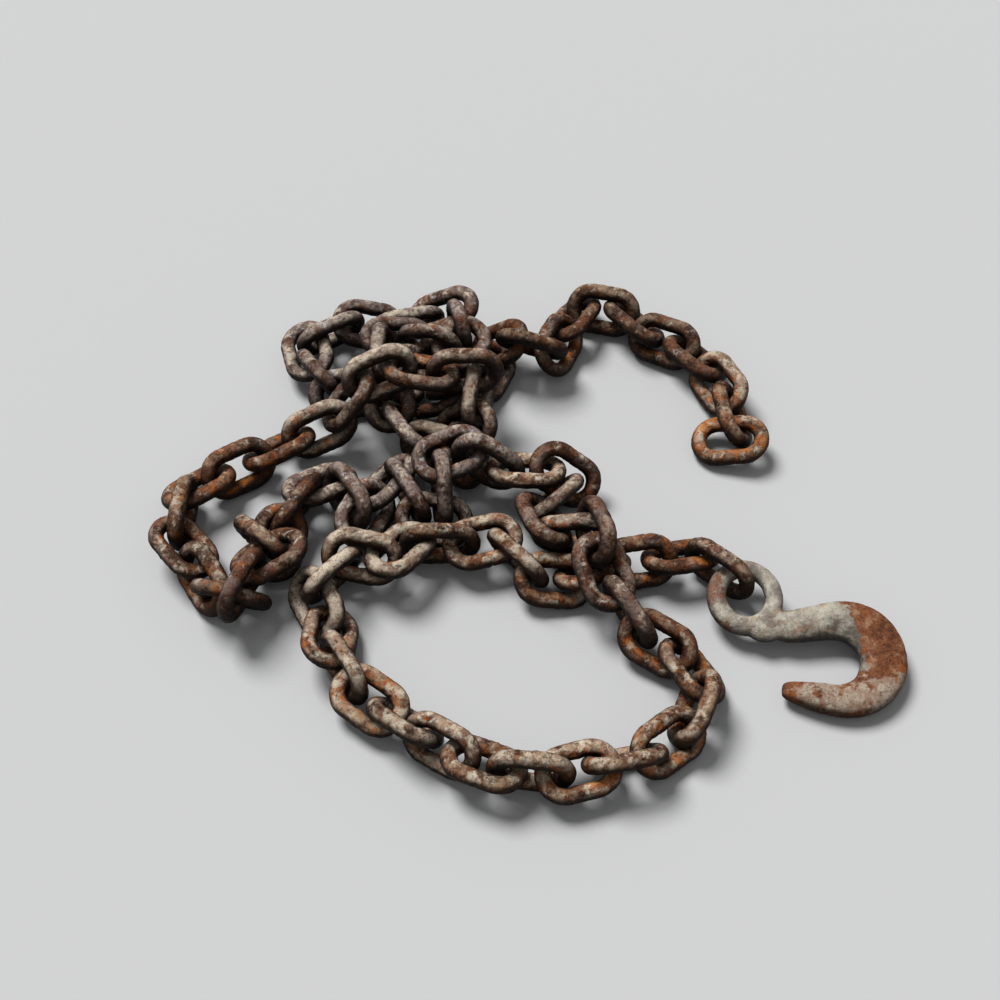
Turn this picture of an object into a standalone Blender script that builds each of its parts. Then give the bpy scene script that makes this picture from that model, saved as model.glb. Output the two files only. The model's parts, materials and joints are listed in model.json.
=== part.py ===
"""A rusty lifting chain with a forged eye hook, lying in a loose heap on the ground.

The hook threads link 1, and 92 oblong links follow to a free end. Each link starts
where the lay below puts it. The links are then threaded through their neighbours and
settled on the ground and on each other, until no two of them share any space. Links
that have rusted together at their bearing point are made as one solid.

Lengths are in millimetres while the chain is laid, and in metres in the scene.
"""
import math

import bmesh
import bpy
import numpy as np
from mathutils import Matrix, Vector
from mathutils.bvhtree import BVHTree

MM = 0.001

# The link: round bar bent to an oblong, 84 mm long and 57 mm wide.
BAR_DIAMETER = 17.0
LINK_LENGTH = 84.0
LINK_WIDTH = 57.0
BAR_SIDES = 5
CROWN_STEPS = 4                 # straight steps round each half-circle end
BAR_SWELL = 1.08                # a flat-sided bar is swelled to keep the round one's body
CROWN_SWELL = 1.03              # and so is the half-circle that its straight steps follow

PITCH = LINK_LENGTH - 2 * BAR_DIAMETER            # from bearing point to bearing point
BEND = (LINK_WIDTH - BAR_DIAMETER) / 2            # the crown's radius, at the bar's middle
STRAIGHT = (LINK_LENGTH - LINK_WIDTH) / 2         # half the straight side's length
REACH = BAR_DIAMETER / 2 * BAR_SWELL              # bar corner to bar middle

# The hook, in its own plane: the eye's middle is the origin and the shank leads to +X.
EYE_RADII = (28.5, 31.5)        # at the middle of the eye's bar: the eye is a little oval
EYE_BAR = 9.0                   # half the eye bar's thickness
EYE_BAR_MORE = 1.2              # the forging is thicker toward this side of the eye,
EYE_BAR_MORE_AT = 235.0         # in degrees from +X
EYE_STEPS = 20
EYE_SIDES = 8
HOOK_SIDES = 12
HOOK_PLACE = (226.0, -122.0)    # the eye's middle on the ground
HOOK_TILT = 6.5                 # degrees: link 1 lies under the eye and lifts it
# Across, along, half the width and half the thickness, from the neck to the point.
HOOK_STATIONS = [
    (20, -27, 12, 9), (38, -32, 16, 11), (62, -29, 17.5, 12.5), (83, -26, 19.5, 13),
    (100, -27, 21.5, 13), (115, -35, 23.5, 13), (126, -50, 23.5, 13), (129, -73, 23, 13),
    (121, -92, 21.5, 13), (110, -103, 19.5, 13), (96, -109, 17.5, 13), (81, -110, 15.5, 13),
    (65, -107, 14.5, 13), (52, -104, 12, 12), (40, -101, 9.5, 9.5), (30, -99, 5.5, 6),
    (26, -98.5, 3, 3.5),
]

# The lay. One entry a link, from the hook to the free end: the middle's place (x, y) and
# height on the ground, the long axis's heading and rise, and how far the link leans over
# about that axis (0 lies flat, 90 stands on its side). Steps of 5 mm and 5 degrees.
LAY = {
    "hook_lead": [
        (205, -95, 30, 130, 0, 65), (175, -65, 20, -170, 0, -10), (135, -85, 25, -155, 0, -55),
        (80, -65, 10, -170, 0, 0),
    ],
    "near_run": [
        (30, -95, 20, 155, 0, -40), (-10, -75, 35, 140, 0, 65), (-45, -45, 30, -170, 0, -10),
        (-75, -55, 30, 160, 0, -65), (-115, -65, 25, -135, 0, -5), (-150, -80, 30, -175, 0, 60),
        (-185, -85, 25, -140, 0, 25),
    ],
    "left_bend": [
        (-195, -120, 20, -65, 0, 0), (-200, -175, 25, -110, 0, -25), (-185, -195, 30, -50, 0, 90),
        (-150, -230, 25, -35, 0, 45),
    ],
    "front_loop": [
        (-110, -260, 20, -50, 0, -5), (-65, -305, 30, -35, 0, -70), (-20, -320, 15, -10, 0, 20),
        (25, -335, 30, 0, 0, 75), (65, -305, 15, 20, 0, 20), (110, -305, 30, 20, 0, -70),
        (150, -275, 20, 40, 0, 35), (170, -235, 20, 80, 0, -30),
    ],
    "rise": [
        (155, -200, 30, 125, 0, 60), (140, -175, 20, 140, 0, -25), (125, -160, 30, 135, 0, 65),
        (90, -115, 35, 105, 0, 5), (70, -70, 50, 110, 10, -55),
    ],
    "knot": [
        (40, -55, 50, 160, 0, 50), (10, -35, 40, 145, 0, 0), (30, 0, 20, 110, -5, -35),
        (35, 15, 30, -180, 0, -20), (10, 20, 40, 165, 15, 30), (-25, 20, 60, 175, 0, -80),
        (-60, 20, 55, -150, 0, -20), (-65, 5, 30, -130, 0, 60), (-95, -5, 20, -160, 0, -30),
        (-105, 5, 40, 125, 0, -70), (-140, 5, 30, -115, 0, 50),
    ],
    "west_run": [
        (-150, 0, 25, -115, 0, -20), (-165, -10, 30, 140, 0, 70), (-200, 15, 20, -135, 0, -25),
        (-230, -40, 30, -110, 0, 70), (-235, -45, 10, -90, 0, -5), (-255, -50, 40, 165, 0, -55),
    ],
    "far_west": [
        (-250, -75, 45, -145, -15, 35), (-270, -120, 50, -75, 20, 85), (-280, -120, 40, -175, 0, 60),
        (-310, -110, 30, 110, 0, 90), (-340, -55, 20, 135, 0, -5), (-360, -30, 30, 95, 0, -80),
        (-335, 15, 25, 30, 0, -15),
    ],
    "back_run": [
        (-305, 40, 20, 25, 0, 30), (-260, 60, 25, 25, 0, -60), (-215, 95, 20, 40, 0, 30),
        (-170, 115, 45, 40, 10, -15), (-135, 115, 70, 35, 15, -85),
    ],
    "pile_top": [
        (-95, 125, 70, -5, 0, 25), (-55, 135, 75, -5, 0, 70), (-50, 100, 50, -85, -25, -90),
        (-55, 85, 40, -175, 0, -25), (-55, 70, 25, -90, -20, -40), (-90, 70, 35, -175, -20, -60),
        (-105, 75, 40, 135, -15, 60),
    ],
    "pile_back": [
        (-135, 115, 35, 125, 0, 0), (-125, 180, 40, 95, 0, 50), (-120, 200, 60, 0, 0, 35),
        (-75, 175, 65, -45, 0, -65), (-55, 180, 60, 65, 0, 30), (-55, 210, 60, 75, 35, -90),
        (-65, 250, 25, 160, 0, -15), (-125, 230, 25, 180, 0, 55), (-175, 240, 25, 170, 0, -35),
    ],
    "pile_foot": [
        (-210, 210, 35, -135, 0, 50), (-220, 200, 20, -85, 0, -5), (-190, 155, 30, -45, 0, -75),
        (-180, 145, 20, 0, 0, 30), (-140, 140, 15, 5, 0, -15), (-95, 130, 20, -5, 10, 30),
        (-65, 150, 15, 30, 0, -20), (-40, 175, 15, 35, 0, 25), (-15, 200, 15, 10, 0, -15),
    ],
    "tail": [
        (-5, 185, 25, 15, 0, -55), (40, 220, 20, 40, 0, 30), (70, 240, 30, 45, 0, -65),
        (100, 260, 20, -30, 0, 35), (135, 250, 30, -35, 0, -85), (140, 225, 20, -20, 0, 35),
        (205, 205, 25, -50, 0, -20), (225, 155, 20, -55, 0, 25), (235, 90, 30, -80, 0, -75),
        (225, 90, 10, -175, 0, 0),
    ],
}
# Link pairs that hang in each other by the side bar, not end to end: the first of the pair.
SIDE_HUNG = (32, 45, 47, 48, 62)

# Which links have rusted together in pairs: all of this stretch, first link to last.
PAIRED = (14, 79)

# Settling.
GAP = 0.3                       # between links that only touch
BITE = 1.0                      # how deep two links that rusted together share metal
THREAD_STEPS = 300
SETTLE_STEPS = 500
RELAX_STEPS = 150
GROW_STEPS = 150                # the bars swell from thin to full over these steps
SINK = 0.25                     # how far the links drop in a step
CARRY = 0.9                     # how much of the last step's push goes on, while easing
TOUCH = 0.4                     # gap aimed for between neighbours' flats
TOUCH_ROUNDS = 7                # gaps are measured and corrected this many times
SPIN_EASE = np.array([1 / 290.0, 1 / 660.0, 1 / 900.0])   # one over inertia, for mass 1

LINK_FINISHES = {
    "near_links": ((0.30, 0.20, 0.13), 0.85, 0.25),
    "heap_links": ((0.22, 0.17, 0.15), 0.88, 0.20),
    "tail_links": ((0.20, 0.10, 0.06), 0.90, 0.15),
    "end_links": ((0.45, 0.20, 0.07), 0.90, 0.10),
    "hook_steel": ((0.40, 0.34, 0.28), 0.75, 0.30),
}


# ---------------------------------------------------------------- the link's two shapes

def link_line():
    """The bar's middle line: an oblong of straight steps, in the link's own plane."""
    turn = np.radians(np.linspace(-90, 90, CROWN_STEPS + 1))
    bend = BEND * CROWN_SWELL
    crown = np.stack([STRAIGHT + bend * np.cos(turn), bend * np.sin(turn), 0 * turn], axis=1)
    return np.concatenate([crown, crown * (-1, -1, 1)])


def link_rings():
    """Rings of bar corners round each point of the middle line, mitred at the bends."""
    line = link_line()
    ahead = np.roll(line, -1, axis=0) - line
    ahead /= np.linalg.norm(ahead, axis=1)[:, None]
    along = ahead + np.roll(ahead, 1, axis=0)
    along /= np.linalg.norm(along, axis=1)[:, None]
    outward = np.stack([along[:, 1], -along[:, 0], 0 * along[:, 0]], axis=1)
    corner = np.radians(np.arange(BAR_SIDES) * 360 / BAR_SIDES)
    return (line[:, None] + REACH * (np.cos(corner)[None, :, None] * outward[:, None]
                                     + np.sin(corner)[None, :, None] * np.array([0, 0, 1.0])))


LINE = link_line()
RINGS = link_rings()
CORNERS = RINGS.reshape(-1, 3)


def link_faces():
    """Two triangles for each flat of the bar, from each ring to the next."""
    rings, sides = RINGS.shape[:2]
    faces = []
    for ring in range(rings):
        for side in range(sides):
            a = ring * sides + side
            b = ring * sides + (side + 1) % sides
            c = (ring + 1) % rings * sides + (side + 1) % sides
            d = (ring + 1) % rings * sides + side
            faces += [(a, d, c), (a, c, b)]
    return faces


# ---------------------------------------------------------------- turning and placing

def turn_about(vectors):
    """Rotation matrices from rotation vectors, one a row."""
    angle = np.linalg.norm(vectors, axis=1)
    unit = vectors / np.maximum(angle, 1e-12)[:, None]
    cross = np.zeros((len(vectors), 3, 3))
    cross[:, 0, 1], cross[:, 0, 2], cross[:, 1, 2] = -unit[:, 2], unit[:, 1], -unit[:, 0]
    cross[:, 1, 0], cross[:, 2, 0], cross[:, 2, 1] = unit[:, 2], -unit[:, 1], unit[:, 0]
    sine, rest = np.sin(angle)[:, None, None], (1 - np.cos(angle))[:, None, None]
    return np.eye(3) + sine * cross + rest * np.einsum("nij,njk->nik", cross, cross)


def squared_up(turns):
    """The same turns, with their axes made unit length and square to each other again."""
    long_axis = turns[:, :, 0] / np.linalg.norm(turns[:, :, 0], axis=1)[:, None]
    cross_axis = turns[:, :, 1] - np.einsum("ni,ni->n", turns[:, :, 1], long_axis)[:, None] * long_axis
    cross_axis /= np.linalg.norm(cross_axis, axis=1)[:, None]
    return np.stack([long_axis, cross_axis, np.cross(long_axis, cross_axis)], axis=2)


def lay_out():
    """Middles and turns of all links as the lay gives them."""
    rows = np.array([row for stretch in LAY.values() for row in stretch], float)
    heading, rise, lean = np.radians(rows[:, 3:]).T
    long_axis = np.stack([np.cos(heading) * np.cos(rise), np.sin(heading) * np.cos(rise),
                          np.sin(rise)], axis=1)
    level = np.stack([-np.sin(heading), np.cos(heading), 0 * heading], axis=1)
    upward = np.cross(long_axis, level)
    cross_axis = level * np.cos(lean)[:, None] + upward * np.sin(lean)[:, None]
    turns = np.stack([long_axis, cross_axis, np.cross(long_axis, cross_axis)], axis=2)
    return rows[:, :3], turns


def turn_back(turns, wanted):
    """Small rotation vectors that lead the turns to the wanted ones."""
    off = np.einsum("nij,nkj->nik", wanted, turns)
    return 0.5 * np.stack([off[:, 2, 1] - off[:, 1, 2], off[:, 0, 2] - off[:, 2, 0],
                           off[:, 1, 0] - off[:, 0, 1]], axis=1)


def nudges(turns, arms, pushes):
    """How a unit push at the end of each arm turns its link, and how easily it gives."""
    twist = np.cross(arms, pushes)
    own = np.einsum("nji,nj->ni", turns, twist) * SPIN_EASE
    spin = np.einsum("nij,nj->ni", turns, own)
    return spin, 1 + np.einsum("ni,ni->n", twist, spin)


# ---------------------------------------------------------------- threading

def thread_links(centres, turns):
    """Draw each link's end to the bearing point in its neighbour, so that they interlock."""
    wanted_centres, wanted_turns = centres.copy(), turns.copy()
    hold = PITCH / 2
    slack, sway = 12.0, 4.0
    tied = np.ones(len(centres) - 1)
    tied[[first - 1 for first in SIDE_HUNG]] = 0
    for step in range(THREAD_STEPS):
        long_axis = turns[:, :, 0]
        arm_a, arm_b = hold * long_axis[:-1], -hold * long_axis[1:]
        apart = (centres[1:] + arm_b) - (centres[:-1] + arm_a)
        run = long_axis[:-1] + long_axis[1:]
        run /= np.maximum(np.linalg.norm(run, axis=1), 1e-6)[:, None]
        along = np.einsum("ni,ni->n", apart, run)
        across = apart - along[:, None] * run
        width = np.linalg.norm(across, axis=1)
        pull = np.where(along > 0, along, np.minimum(along + slack, 0))[:, None] * run
        pull += across * np.maximum(0, 1 - sway / np.maximum(width, 1e-6))[:, None]
        pull *= tied[:, None]
        length = np.linalg.norm(pull, axis=1)
        push = pull / np.maximum(length, 1e-9)[:, None]
        spin_a, ease_a = nudges(turns[:-1], arm_a, push)
        spin_b, ease_b = nudges(turns[1:], arm_b, push)
        share = (0.7 * length / (ease_a + ease_b))[:, None]
        move, spin = np.zeros_like(centres), np.zeros_like(centres)
        move[:-1] += share * push
        spin[:-1] += share * spin_a
        move[1:] -= share * push
        spin[1:] -= share * spin_b
        home = 0.05 * (1 - step / THREAD_STEPS)
        centres = centres + move + home * (wanted_centres - centres)
        turns = np.einsum("nij,njk->nik", turn_about(spin + home * turn_back(turns, wanted_turns)),
                          turns)
        needed = REACH + np.abs(turns[:, 2, 1]) * BEND + np.abs(turns[:, 2, 0]) * STRAIGHT
        centres[:, 2] += 0.3 * np.maximum(needed - centres[:, 2], 0)
    return centres, squared_up(turns)


# ---------------------------------------------------------------- settling

def nearest_on_steps(p, q, r, s):
    """The nearest points of two sets of straight steps, p to q and r to s."""
    one, two, between = q - p, s - r, p - r
    a = np.einsum("ni,ni->n", one, one)
    e = np.einsum("ni,ni->n", two, two)
    b = np.einsum("ni,ni->n", one, two)
    c = np.einsum("ni,ni->n", one, between)
    f = np.einsum("ni,ni->n", two, between)
    spread = a * e - b * b
    first = np.where(spread > 1e-9, np.clip((b * f - c * e) / np.maximum(spread, 1e-9), 0, 1), 0.5)
    free = (b * first + f) / e
    second = np.clip(free, 0, 1)
    first = np.where(free != second, np.clip((b * second - c) / a, 0, 1), first)
    return p + one * first[:, None], r + two * second[:, None]


def near_steps(centres, starts, ends):
    """Which straight steps of which links are near enough to matter."""
    count = len(LINE)
    reach = 2 * (STRAIGHT + BEND) + 2 * REACH + 8
    away = np.linalg.norm(centres[:, None] - centres[None], axis=2)
    a, b = np.nonzero(np.triu(away < reach, 1))
    steps = np.arange(count)
    a, b = np.repeat(a, count * count), np.repeat(b, count * count)
    i = np.tile(np.repeat(steps, count), len(a) // count ** 2)
    j = np.tile(steps, len(a) // count)
    middle = (starts + ends) / 2
    gap = middle[a, i] - middle[b, j]
    near = np.einsum("ni,ni->n", gap, gap) < (2 * REACH + 2 * STRAIGHT + 6) ** 2
    return a[near], b[near], i[near], j[near]


def settle(centres, turns, hook, spacing, steps, easing=False):
    """Push overlapping links apart, hold neighbours together and let all sink to the ground.

    spacing holds how far each link's bar middle is kept from that of the link before it,
    and, for the first, how far the link is kept from the eye's bar. When easing, nothing
    sinks or is held to its place.
    """
    centres, turns = centres.copy(), turns.copy()
    wanted_centres, wanted_turns = centres.copy(), turns.copy()
    hook_starts, hook_ends, hook_reach = hook
    apart_anyway = 2 * REACH + GAP
    last_move, last_spin = np.zeros_like(centres), np.zeros_like(centres)
    for step in range(steps):
        done = step / steps
        grown = 1.0 if easing else min(1.0, 0.35 + 0.65 * step / GROW_STEPS)
        starts = np.einsum("nij,mj->nmi", turns, LINE) + centres[:, None]
        ends = np.roll(starts, -1, axis=1)
        if step % 8 == 0:
            a, b, i, j = near_steps(centres, starts, ends)
            neighbours = b - a == 1
            needed = np.where(neighbours, spacing[b], apart_anyway)
        on_a, on_b = nearest_on_steps(starts[a, i], ends[a, i], starts[b, j], ends[b, j])
        between = on_a - on_b
        length = np.linalg.norm(between, axis=1)
        short = needed * grown - length
        acting = short > 0
        if easing or step > GROW_STEPS * 0.6:
            closest = np.full(len(centres), np.inf)
            np.minimum.at(closest, a[neighbours], length[neighbours])
            acting |= neighbours & (length <= closest[a])
        pick = np.nonzero(acting)[0]
        worst = float(short[pick].max())
        push = between[pick] / np.maximum(length[pick], 1e-6)[:, None]
        spin_a, ease_a = nudges(turns[a[pick]], on_a[pick] - centres[a[pick]], push)
        spin_b, ease_b = nudges(turns[b[pick]], on_b[pick] - centres[b[pick]], push)
        amount = np.where(short[pick] < 0, 0.4, 1.0) * short[pick]
        share = (amount / (ease_a + ease_b))[:, None]
        move, spin, hits = np.zeros_like(centres), np.zeros_like(centres), np.zeros(len(centres))
        for which, sign, turned in ((a[pick], 1, spin_a), (b[pick], -1, spin_b)):
            np.add.at(move, which, sign * share * push)
            np.add.at(spin, which, sign * share * turned)
            np.add.at(hits, which, 1)

        by_hook = np.nonzero(np.linalg.norm(centres - hook_starts.mean(axis=0), axis=1) < 190)[0]
        k = np.repeat(by_hook, len(LINE) * len(hook_starts))
        i_k = np.tile(np.repeat(np.arange(len(LINE)), len(hook_starts)), len(by_hook))
        h = np.tile(np.arange(len(hook_starts)), len(by_hook) * len(LINE))
        on_link, on_hook = nearest_on_steps(starts[k, i_k], ends[k, i_k], hook_starts[h], hook_ends[h])
        between = on_link - on_hook
        length = np.linalg.norm(between, axis=1)
        short_h = (REACH + hook_reach[h] + np.where(k == 0, spacing[0], GAP)) * grown - length
        acting = short_h > 0
        if easing or step > GROW_STEPS * 0.6:
            acting |= (k == 0) & (length <= length[k == 0].min())
        pick = np.nonzero(acting)[0]
        push = between[pick] / np.maximum(length[pick], 1e-6)[:, None]
        spin_k, ease_k = nudges(turns[k[pick]], on_link[pick] - centres[k[pick]], push)
        share = (short_h[pick] / ease_k)[:, None]
        np.add.at(move, k[pick], share * push)
        np.add.at(spin, k[pick], share * spin_k)
        np.add.at(hits, k[pick], 1)

        corners = np.einsum("nij,mj->nmi", turns, CORNERS) + centres[:, None]
        link, corner = np.nonzero(corners[:, :, 2] < 0)
        up = np.tile([0, 0, 1.0], (len(link), 1))
        spin_f, ease_f = nudges(turns[link], corners[link, corner] - centres[link], up)
        share = (-corners[link, corner, 2] / ease_f)[:, None]
        np.add.at(move, link, share * up)
        np.add.at(spin, link, share * spin_f)
        np.add.at(hits, link, 1)

        calm = np.minimum(1.6 / np.maximum(hits, 1), 1.0)[:, None]
        move *= calm
        spin *= calm
        if easing:
            move += CARRY * last_move
            spin += CARRY * last_spin
            last_move, last_spin = move, spin
        else:
            home = 0.03 * (1 - done) if done < 0.9 else 0.0
            move[:, :2] += home * (wanted_centres - centres)[:, :2]
            spin += 0.6 * home * turn_back(turns, wanted_turns)
            if done < 0.85:
                move[:, 2] -= SINK * (1 - done)
        stride = np.linalg.norm(move, axis=1)[:, None]
        centres = centres + move * np.minimum(1, 3.0 / np.maximum(stride, 1e-9))
        turns = np.einsum("nij,njk->nik", turn_about(spin), turns)
    return centres, squared_up(turns), worst


# ---------------------------------------------------------------- exact gaps between flats

def edges_of(faces):
    """Each edge of a triangle mesh once, as pairs of corner numbers."""
    return np.array(sorted({tuple(sorted((face[k], face[k - 2]))) for face in faces for k in range(3)}))


def gap_to_faces(points, corners, faces):
    """Least distance from any point to any face that it stands square above."""
    a, b, c = (corners[faces[:, k]] for k in range(3))
    normal = np.cross(b - a, c - a)
    normal /= np.linalg.norm(normal, axis=1)[:, None]
    inside = np.ones((len(points), len(faces)), bool)
    for one, two in ((a, b), (b, c), (c, a)):
        inward = np.cross(normal, two - one)
        inside &= np.einsum("pfi,fi->pf", points[:, None] - one[None], inward) >= 0
    height = np.abs(np.einsum("pfi,fi->pf", points[:, None] - a[None], normal))
    return float(np.where(inside, height, np.inf).min())


def gap_between(one, two):
    """Distance between two meshes, each (corners, edges, faces); -0.5 if they meet."""
    (p, edges_p, faces_p), (q, edges_q, faces_q) = one, two
    tree_p = BVHTree.FromPolygons(p.tolist(), faces_p.tolist())
    tree_q = BVHTree.FromPolygons(q.tolist(), faces_q.tolist())
    if tree_p.overlap(tree_q):
        return -0.5
    i = np.repeat(np.arange(len(edges_p)), len(edges_q))
    j = np.tile(np.arange(len(edges_q)), len(edges_p))
    middle_p, middle_q = p[edges_p].mean(axis=1), q[edges_q].mean(axis=1)
    near = np.linalg.norm(middle_p[i] - middle_q[j], axis=1) < 45
    i, j = i[near], j[near]
    on_p, on_q = nearest_on_steps(p[edges_p[i, 0]], p[edges_p[i, 1]], q[edges_q[j, 0]], q[edges_q[j, 1]])
    edge_gap = float(np.linalg.norm(on_p - on_q, axis=1).min())
    return min(edge_gap, gap_to_faces(p, q, faces_q), gap_to_faces(q, p, faces_p))


# ---------------------------------------------------------------- the hook

def hook_body():
    """Corners and faces of the shank and bend, capped at the neck and at the point."""
    rows = np.array(HOOK_STATIONS, float)
    along = np.gradient(rows[:, :2], axis=0)
    along /= np.linalg.norm(along, axis=1)[:, None]
    across = np.stack([along[:, 1], -along[:, 0]], axis=1)
    turn = np.radians((np.arange(HOOK_SIDES) + 0.5) * 360 / HOOK_SIDES)
    swell = 1 / math.cos(math.pi / HOOK_SIDES)
    wide = swell * np.sign(np.cos(turn)) * np.abs(np.cos(turn)) ** 0.85
    corners = []
    for (x, y, half_width, half_thickness), side in zip(rows, across):
        flat = np.array([x, y]) + half_width * wide[:, None] * side
        corners += [(u, v, half_thickness * swell * s) for (u, v), s in zip(flat, np.sin(turn))]
    faces = []
    for ring in range(len(rows) - 1):
        for k in range(HOOK_SIDES):
            here, there = ring * HOOK_SIDES, (ring + 1) * HOOK_SIDES
            following = (k + 1) % HOOK_SIDES
            faces.append((here + k, here + following, there + following, there + k))
    last = (len(rows) - 1) * HOOK_SIDES
    faces.append(tuple(range(HOOK_SIDES))[::-1])
    faces.append(tuple(last + k for k in range(HOOK_SIDES)))
    return np.array(corners), faces


def eye_bar(around):
    """Middle of the eye's bar at an angle round the eye, and half its thickness there."""
    middle = np.stack([EYE_RADII[0] * np.cos(around), EYE_RADII[1] * np.sin(around), 0 * around], axis=-1)
    swell = 0.5 + 0.5 * np.cos(around - math.radians(EYE_BAR_MORE_AT))
    return middle, EYE_BAR + EYE_BAR_MORE * swell


def eye_ring():
    """Corners and triangles of the ring at the hook's neck."""
    corners, faces = [], []
    for step in range(EYE_STEPS):
        around = 2 * math.pi * step / EYE_STEPS
        middle, half = eye_bar(np.float64(around))
        for side in range(EYE_SIDES):
            turn = 2 * math.pi * (side + 0.5) / EYE_SIDES
            out = half * 1.04 * math.cos(turn)
            corners.append((middle[0] + out * math.cos(around), middle[1] + out * math.sin(around),
                            half * 1.04 * math.sin(turn)))
            a = step * EYE_SIDES + side
            b = step * EYE_SIDES + (side + 1) % EYE_SIDES
            c = (step + 1) % EYE_STEPS * EYE_SIDES + (side + 1) % EYE_SIDES
            d = (step + 1) % EYE_STEPS * EYE_SIDES + side
            faces += [(a, d, c), (a, c, b)]
    return np.array(corners), np.array(faces)


def hook_turn():
    """The hook's turn, and the height of its eye that sets its lowest corner on the ground."""
    tilt = math.radians(HOOK_TILT)
    turn = np.array([[1, 0, 0], [0, math.cos(tilt), -math.sin(tilt)], [0, math.sin(tilt), math.cos(tilt)]])
    corners = np.concatenate([hook_body()[0], eye_ring()[0]])
    return turn, -float((corners @ turn.T)[:, 2].min())


def hook_capsules(turn, place):
    """Straight steps with a reach, which keep links out of the hook while they settle."""
    ring, half = eye_bar(np.radians(np.arange(EYE_STEPS) * 360 / EYE_STEPS))
    rows = np.array(HOOK_STATIONS, float)[1:]
    spine = np.concatenate([rows[:, :2], 0 * rows[:, :1]], axis=1)
    starts = np.concatenate([ring, spine[:-1]])
    ends = np.concatenate([np.roll(ring, -1, axis=0), spine[1:]])
    reach = np.concatenate([1.04 * np.maximum(half, np.roll(half, -1)),
                            np.maximum(rows[:-1, 2], rows[1:, 2]) * 0.8])
    return starts @ turn.T + place, ends @ turn.T + place, reach


# ---------------------------------------------------------------- bringing links to a touch

def paired_firsts():
    """Numbers of the links that each make one solid with the link after them."""
    return list(range(PAIRED[0], PAIRED[1], 2))


def neighbour_gaps(centres, turns, eye):
    """Gap from each link to the one before it; the eye's bar comes before the first."""
    faces = np.array(link_faces())
    edges = edges_of(link_faces())
    corners = np.einsum("nij,mj->nmi", turns, CORNERS) + centres[:, None]
    links = [(each, edges, faces) for each in corners]
    return np.array([gap_between(a, b) for a, b in zip([eye] + links[:-1], links)])


def bring_to_touch(centres, turns, hook, eye):
    """Ease the links until neighbours are a hair apart, then press the rusted pairs together."""
    spacing = np.full(len(centres), 2 * REACH + GAP)
    spacing[0] = GAP
    pressed = np.zeros(len(centres), bool)
    centres, turns, _ = settle(centres, turns, hook, spacing, RELAX_STEPS, easing=True)
    for stage in range(TOUCH_ROUNDS):
        gaps = neighbour_gaps(centres, turns, eye)
        spacing -= np.where(pressed, 0, np.clip(gaps - TOUCH, -0.8, 2.0))
        if stage == TOUCH_ROUNDS - 3:
            pressed[paired_firsts()] = True
            spacing[pressed] -= BITE + TOUCH
        centres, turns, _ = settle(centres, turns, hook, spacing, RELAX_STEPS, easing=True)
    return centres, turns


# ---------------------------------------------------------------- the scene

def finish_of(number):
    """The finish of a link, by its number from the hook."""
    if number == len(lay_out()[0]):
        return "end_links"
    return "near_links" if number < 33 else "heap_links" if number < 80 else "tail_links"


def material(name):
    """A plain rusty steel of the named finish."""
    colour, roughness, metallic = LINK_FINISHES[name]
    made = bpy.data.materials.new(name)
    made.use_nodes = True
    shader = made.node_tree.nodes["Principled BSDF"]
    shader.inputs["Base Color"].default_value = (*colour, 1)
    shader.inputs["Roughness"].default_value = roughness
    shader.inputs["Metallic"].default_value = metallic
    made.diffuse_color = (*colour, 1)
    return made


def mesh_of(name, corners, faces, finish):
    """A mesh with one finish, from corners in millimetres, with its faces turned outward."""
    made = bpy.data.meshes.new(name)
    made.from_pydata((np.asarray(corners) * MM).tolist(), [], [tuple(int(k) for k in face) for face in faces])
    shape = bmesh.new()
    shape.from_mesh(made)
    bmesh.ops.recalc_face_normals(shape, faces=shape.faces)
    shape.to_mesh(made)
    shape.free()
    made.materials.append(finish)
    return made


def placed(name, mesh, turn, place, parent, helper=False):
    """An object at a place in millimetres, with its turn; a helper stays out of the part."""
    made = bpy.data.objects.new(name, mesh)
    bpy.context.scene.collection.objects.link(made)
    made.parent = parent
    made.location = Vector((np.asarray(place) * MM).tolist())
    made.rotation_euler = Matrix(np.asarray(turn).tolist()).to_euler()
    made.hide_render = helper
    if helper:
        made.display_type = "WIRE"
    return made


def joined(target, helper):
    """Make the helper's metal one with the target's."""
    union = target.modifiers.new("with_" + helper.name, "BOOLEAN")
    union.operation = "UNION"
    union.solver = "EXACT"
    union.object = helper


def middle_shift(centres, turns, hook_pose):
    """What to add so that the whole stands on the ground, over the middle of its box."""
    corners = (np.einsum("nij,mj->nmi", turns, CORNERS) + centres[:, None]).reshape(-1, 3)
    body = np.concatenate([hook_body()[0], eye_ring()[0]])
    corners = np.concatenate([corners, body @ hook_pose[0].T + hook_pose[1]])
    low, high = corners.min(axis=0), corners.max(axis=0)
    return np.array([-(low[0] + high[0]) / 2, -(low[1] + high[1]) / 2, -low[2]])


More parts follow.
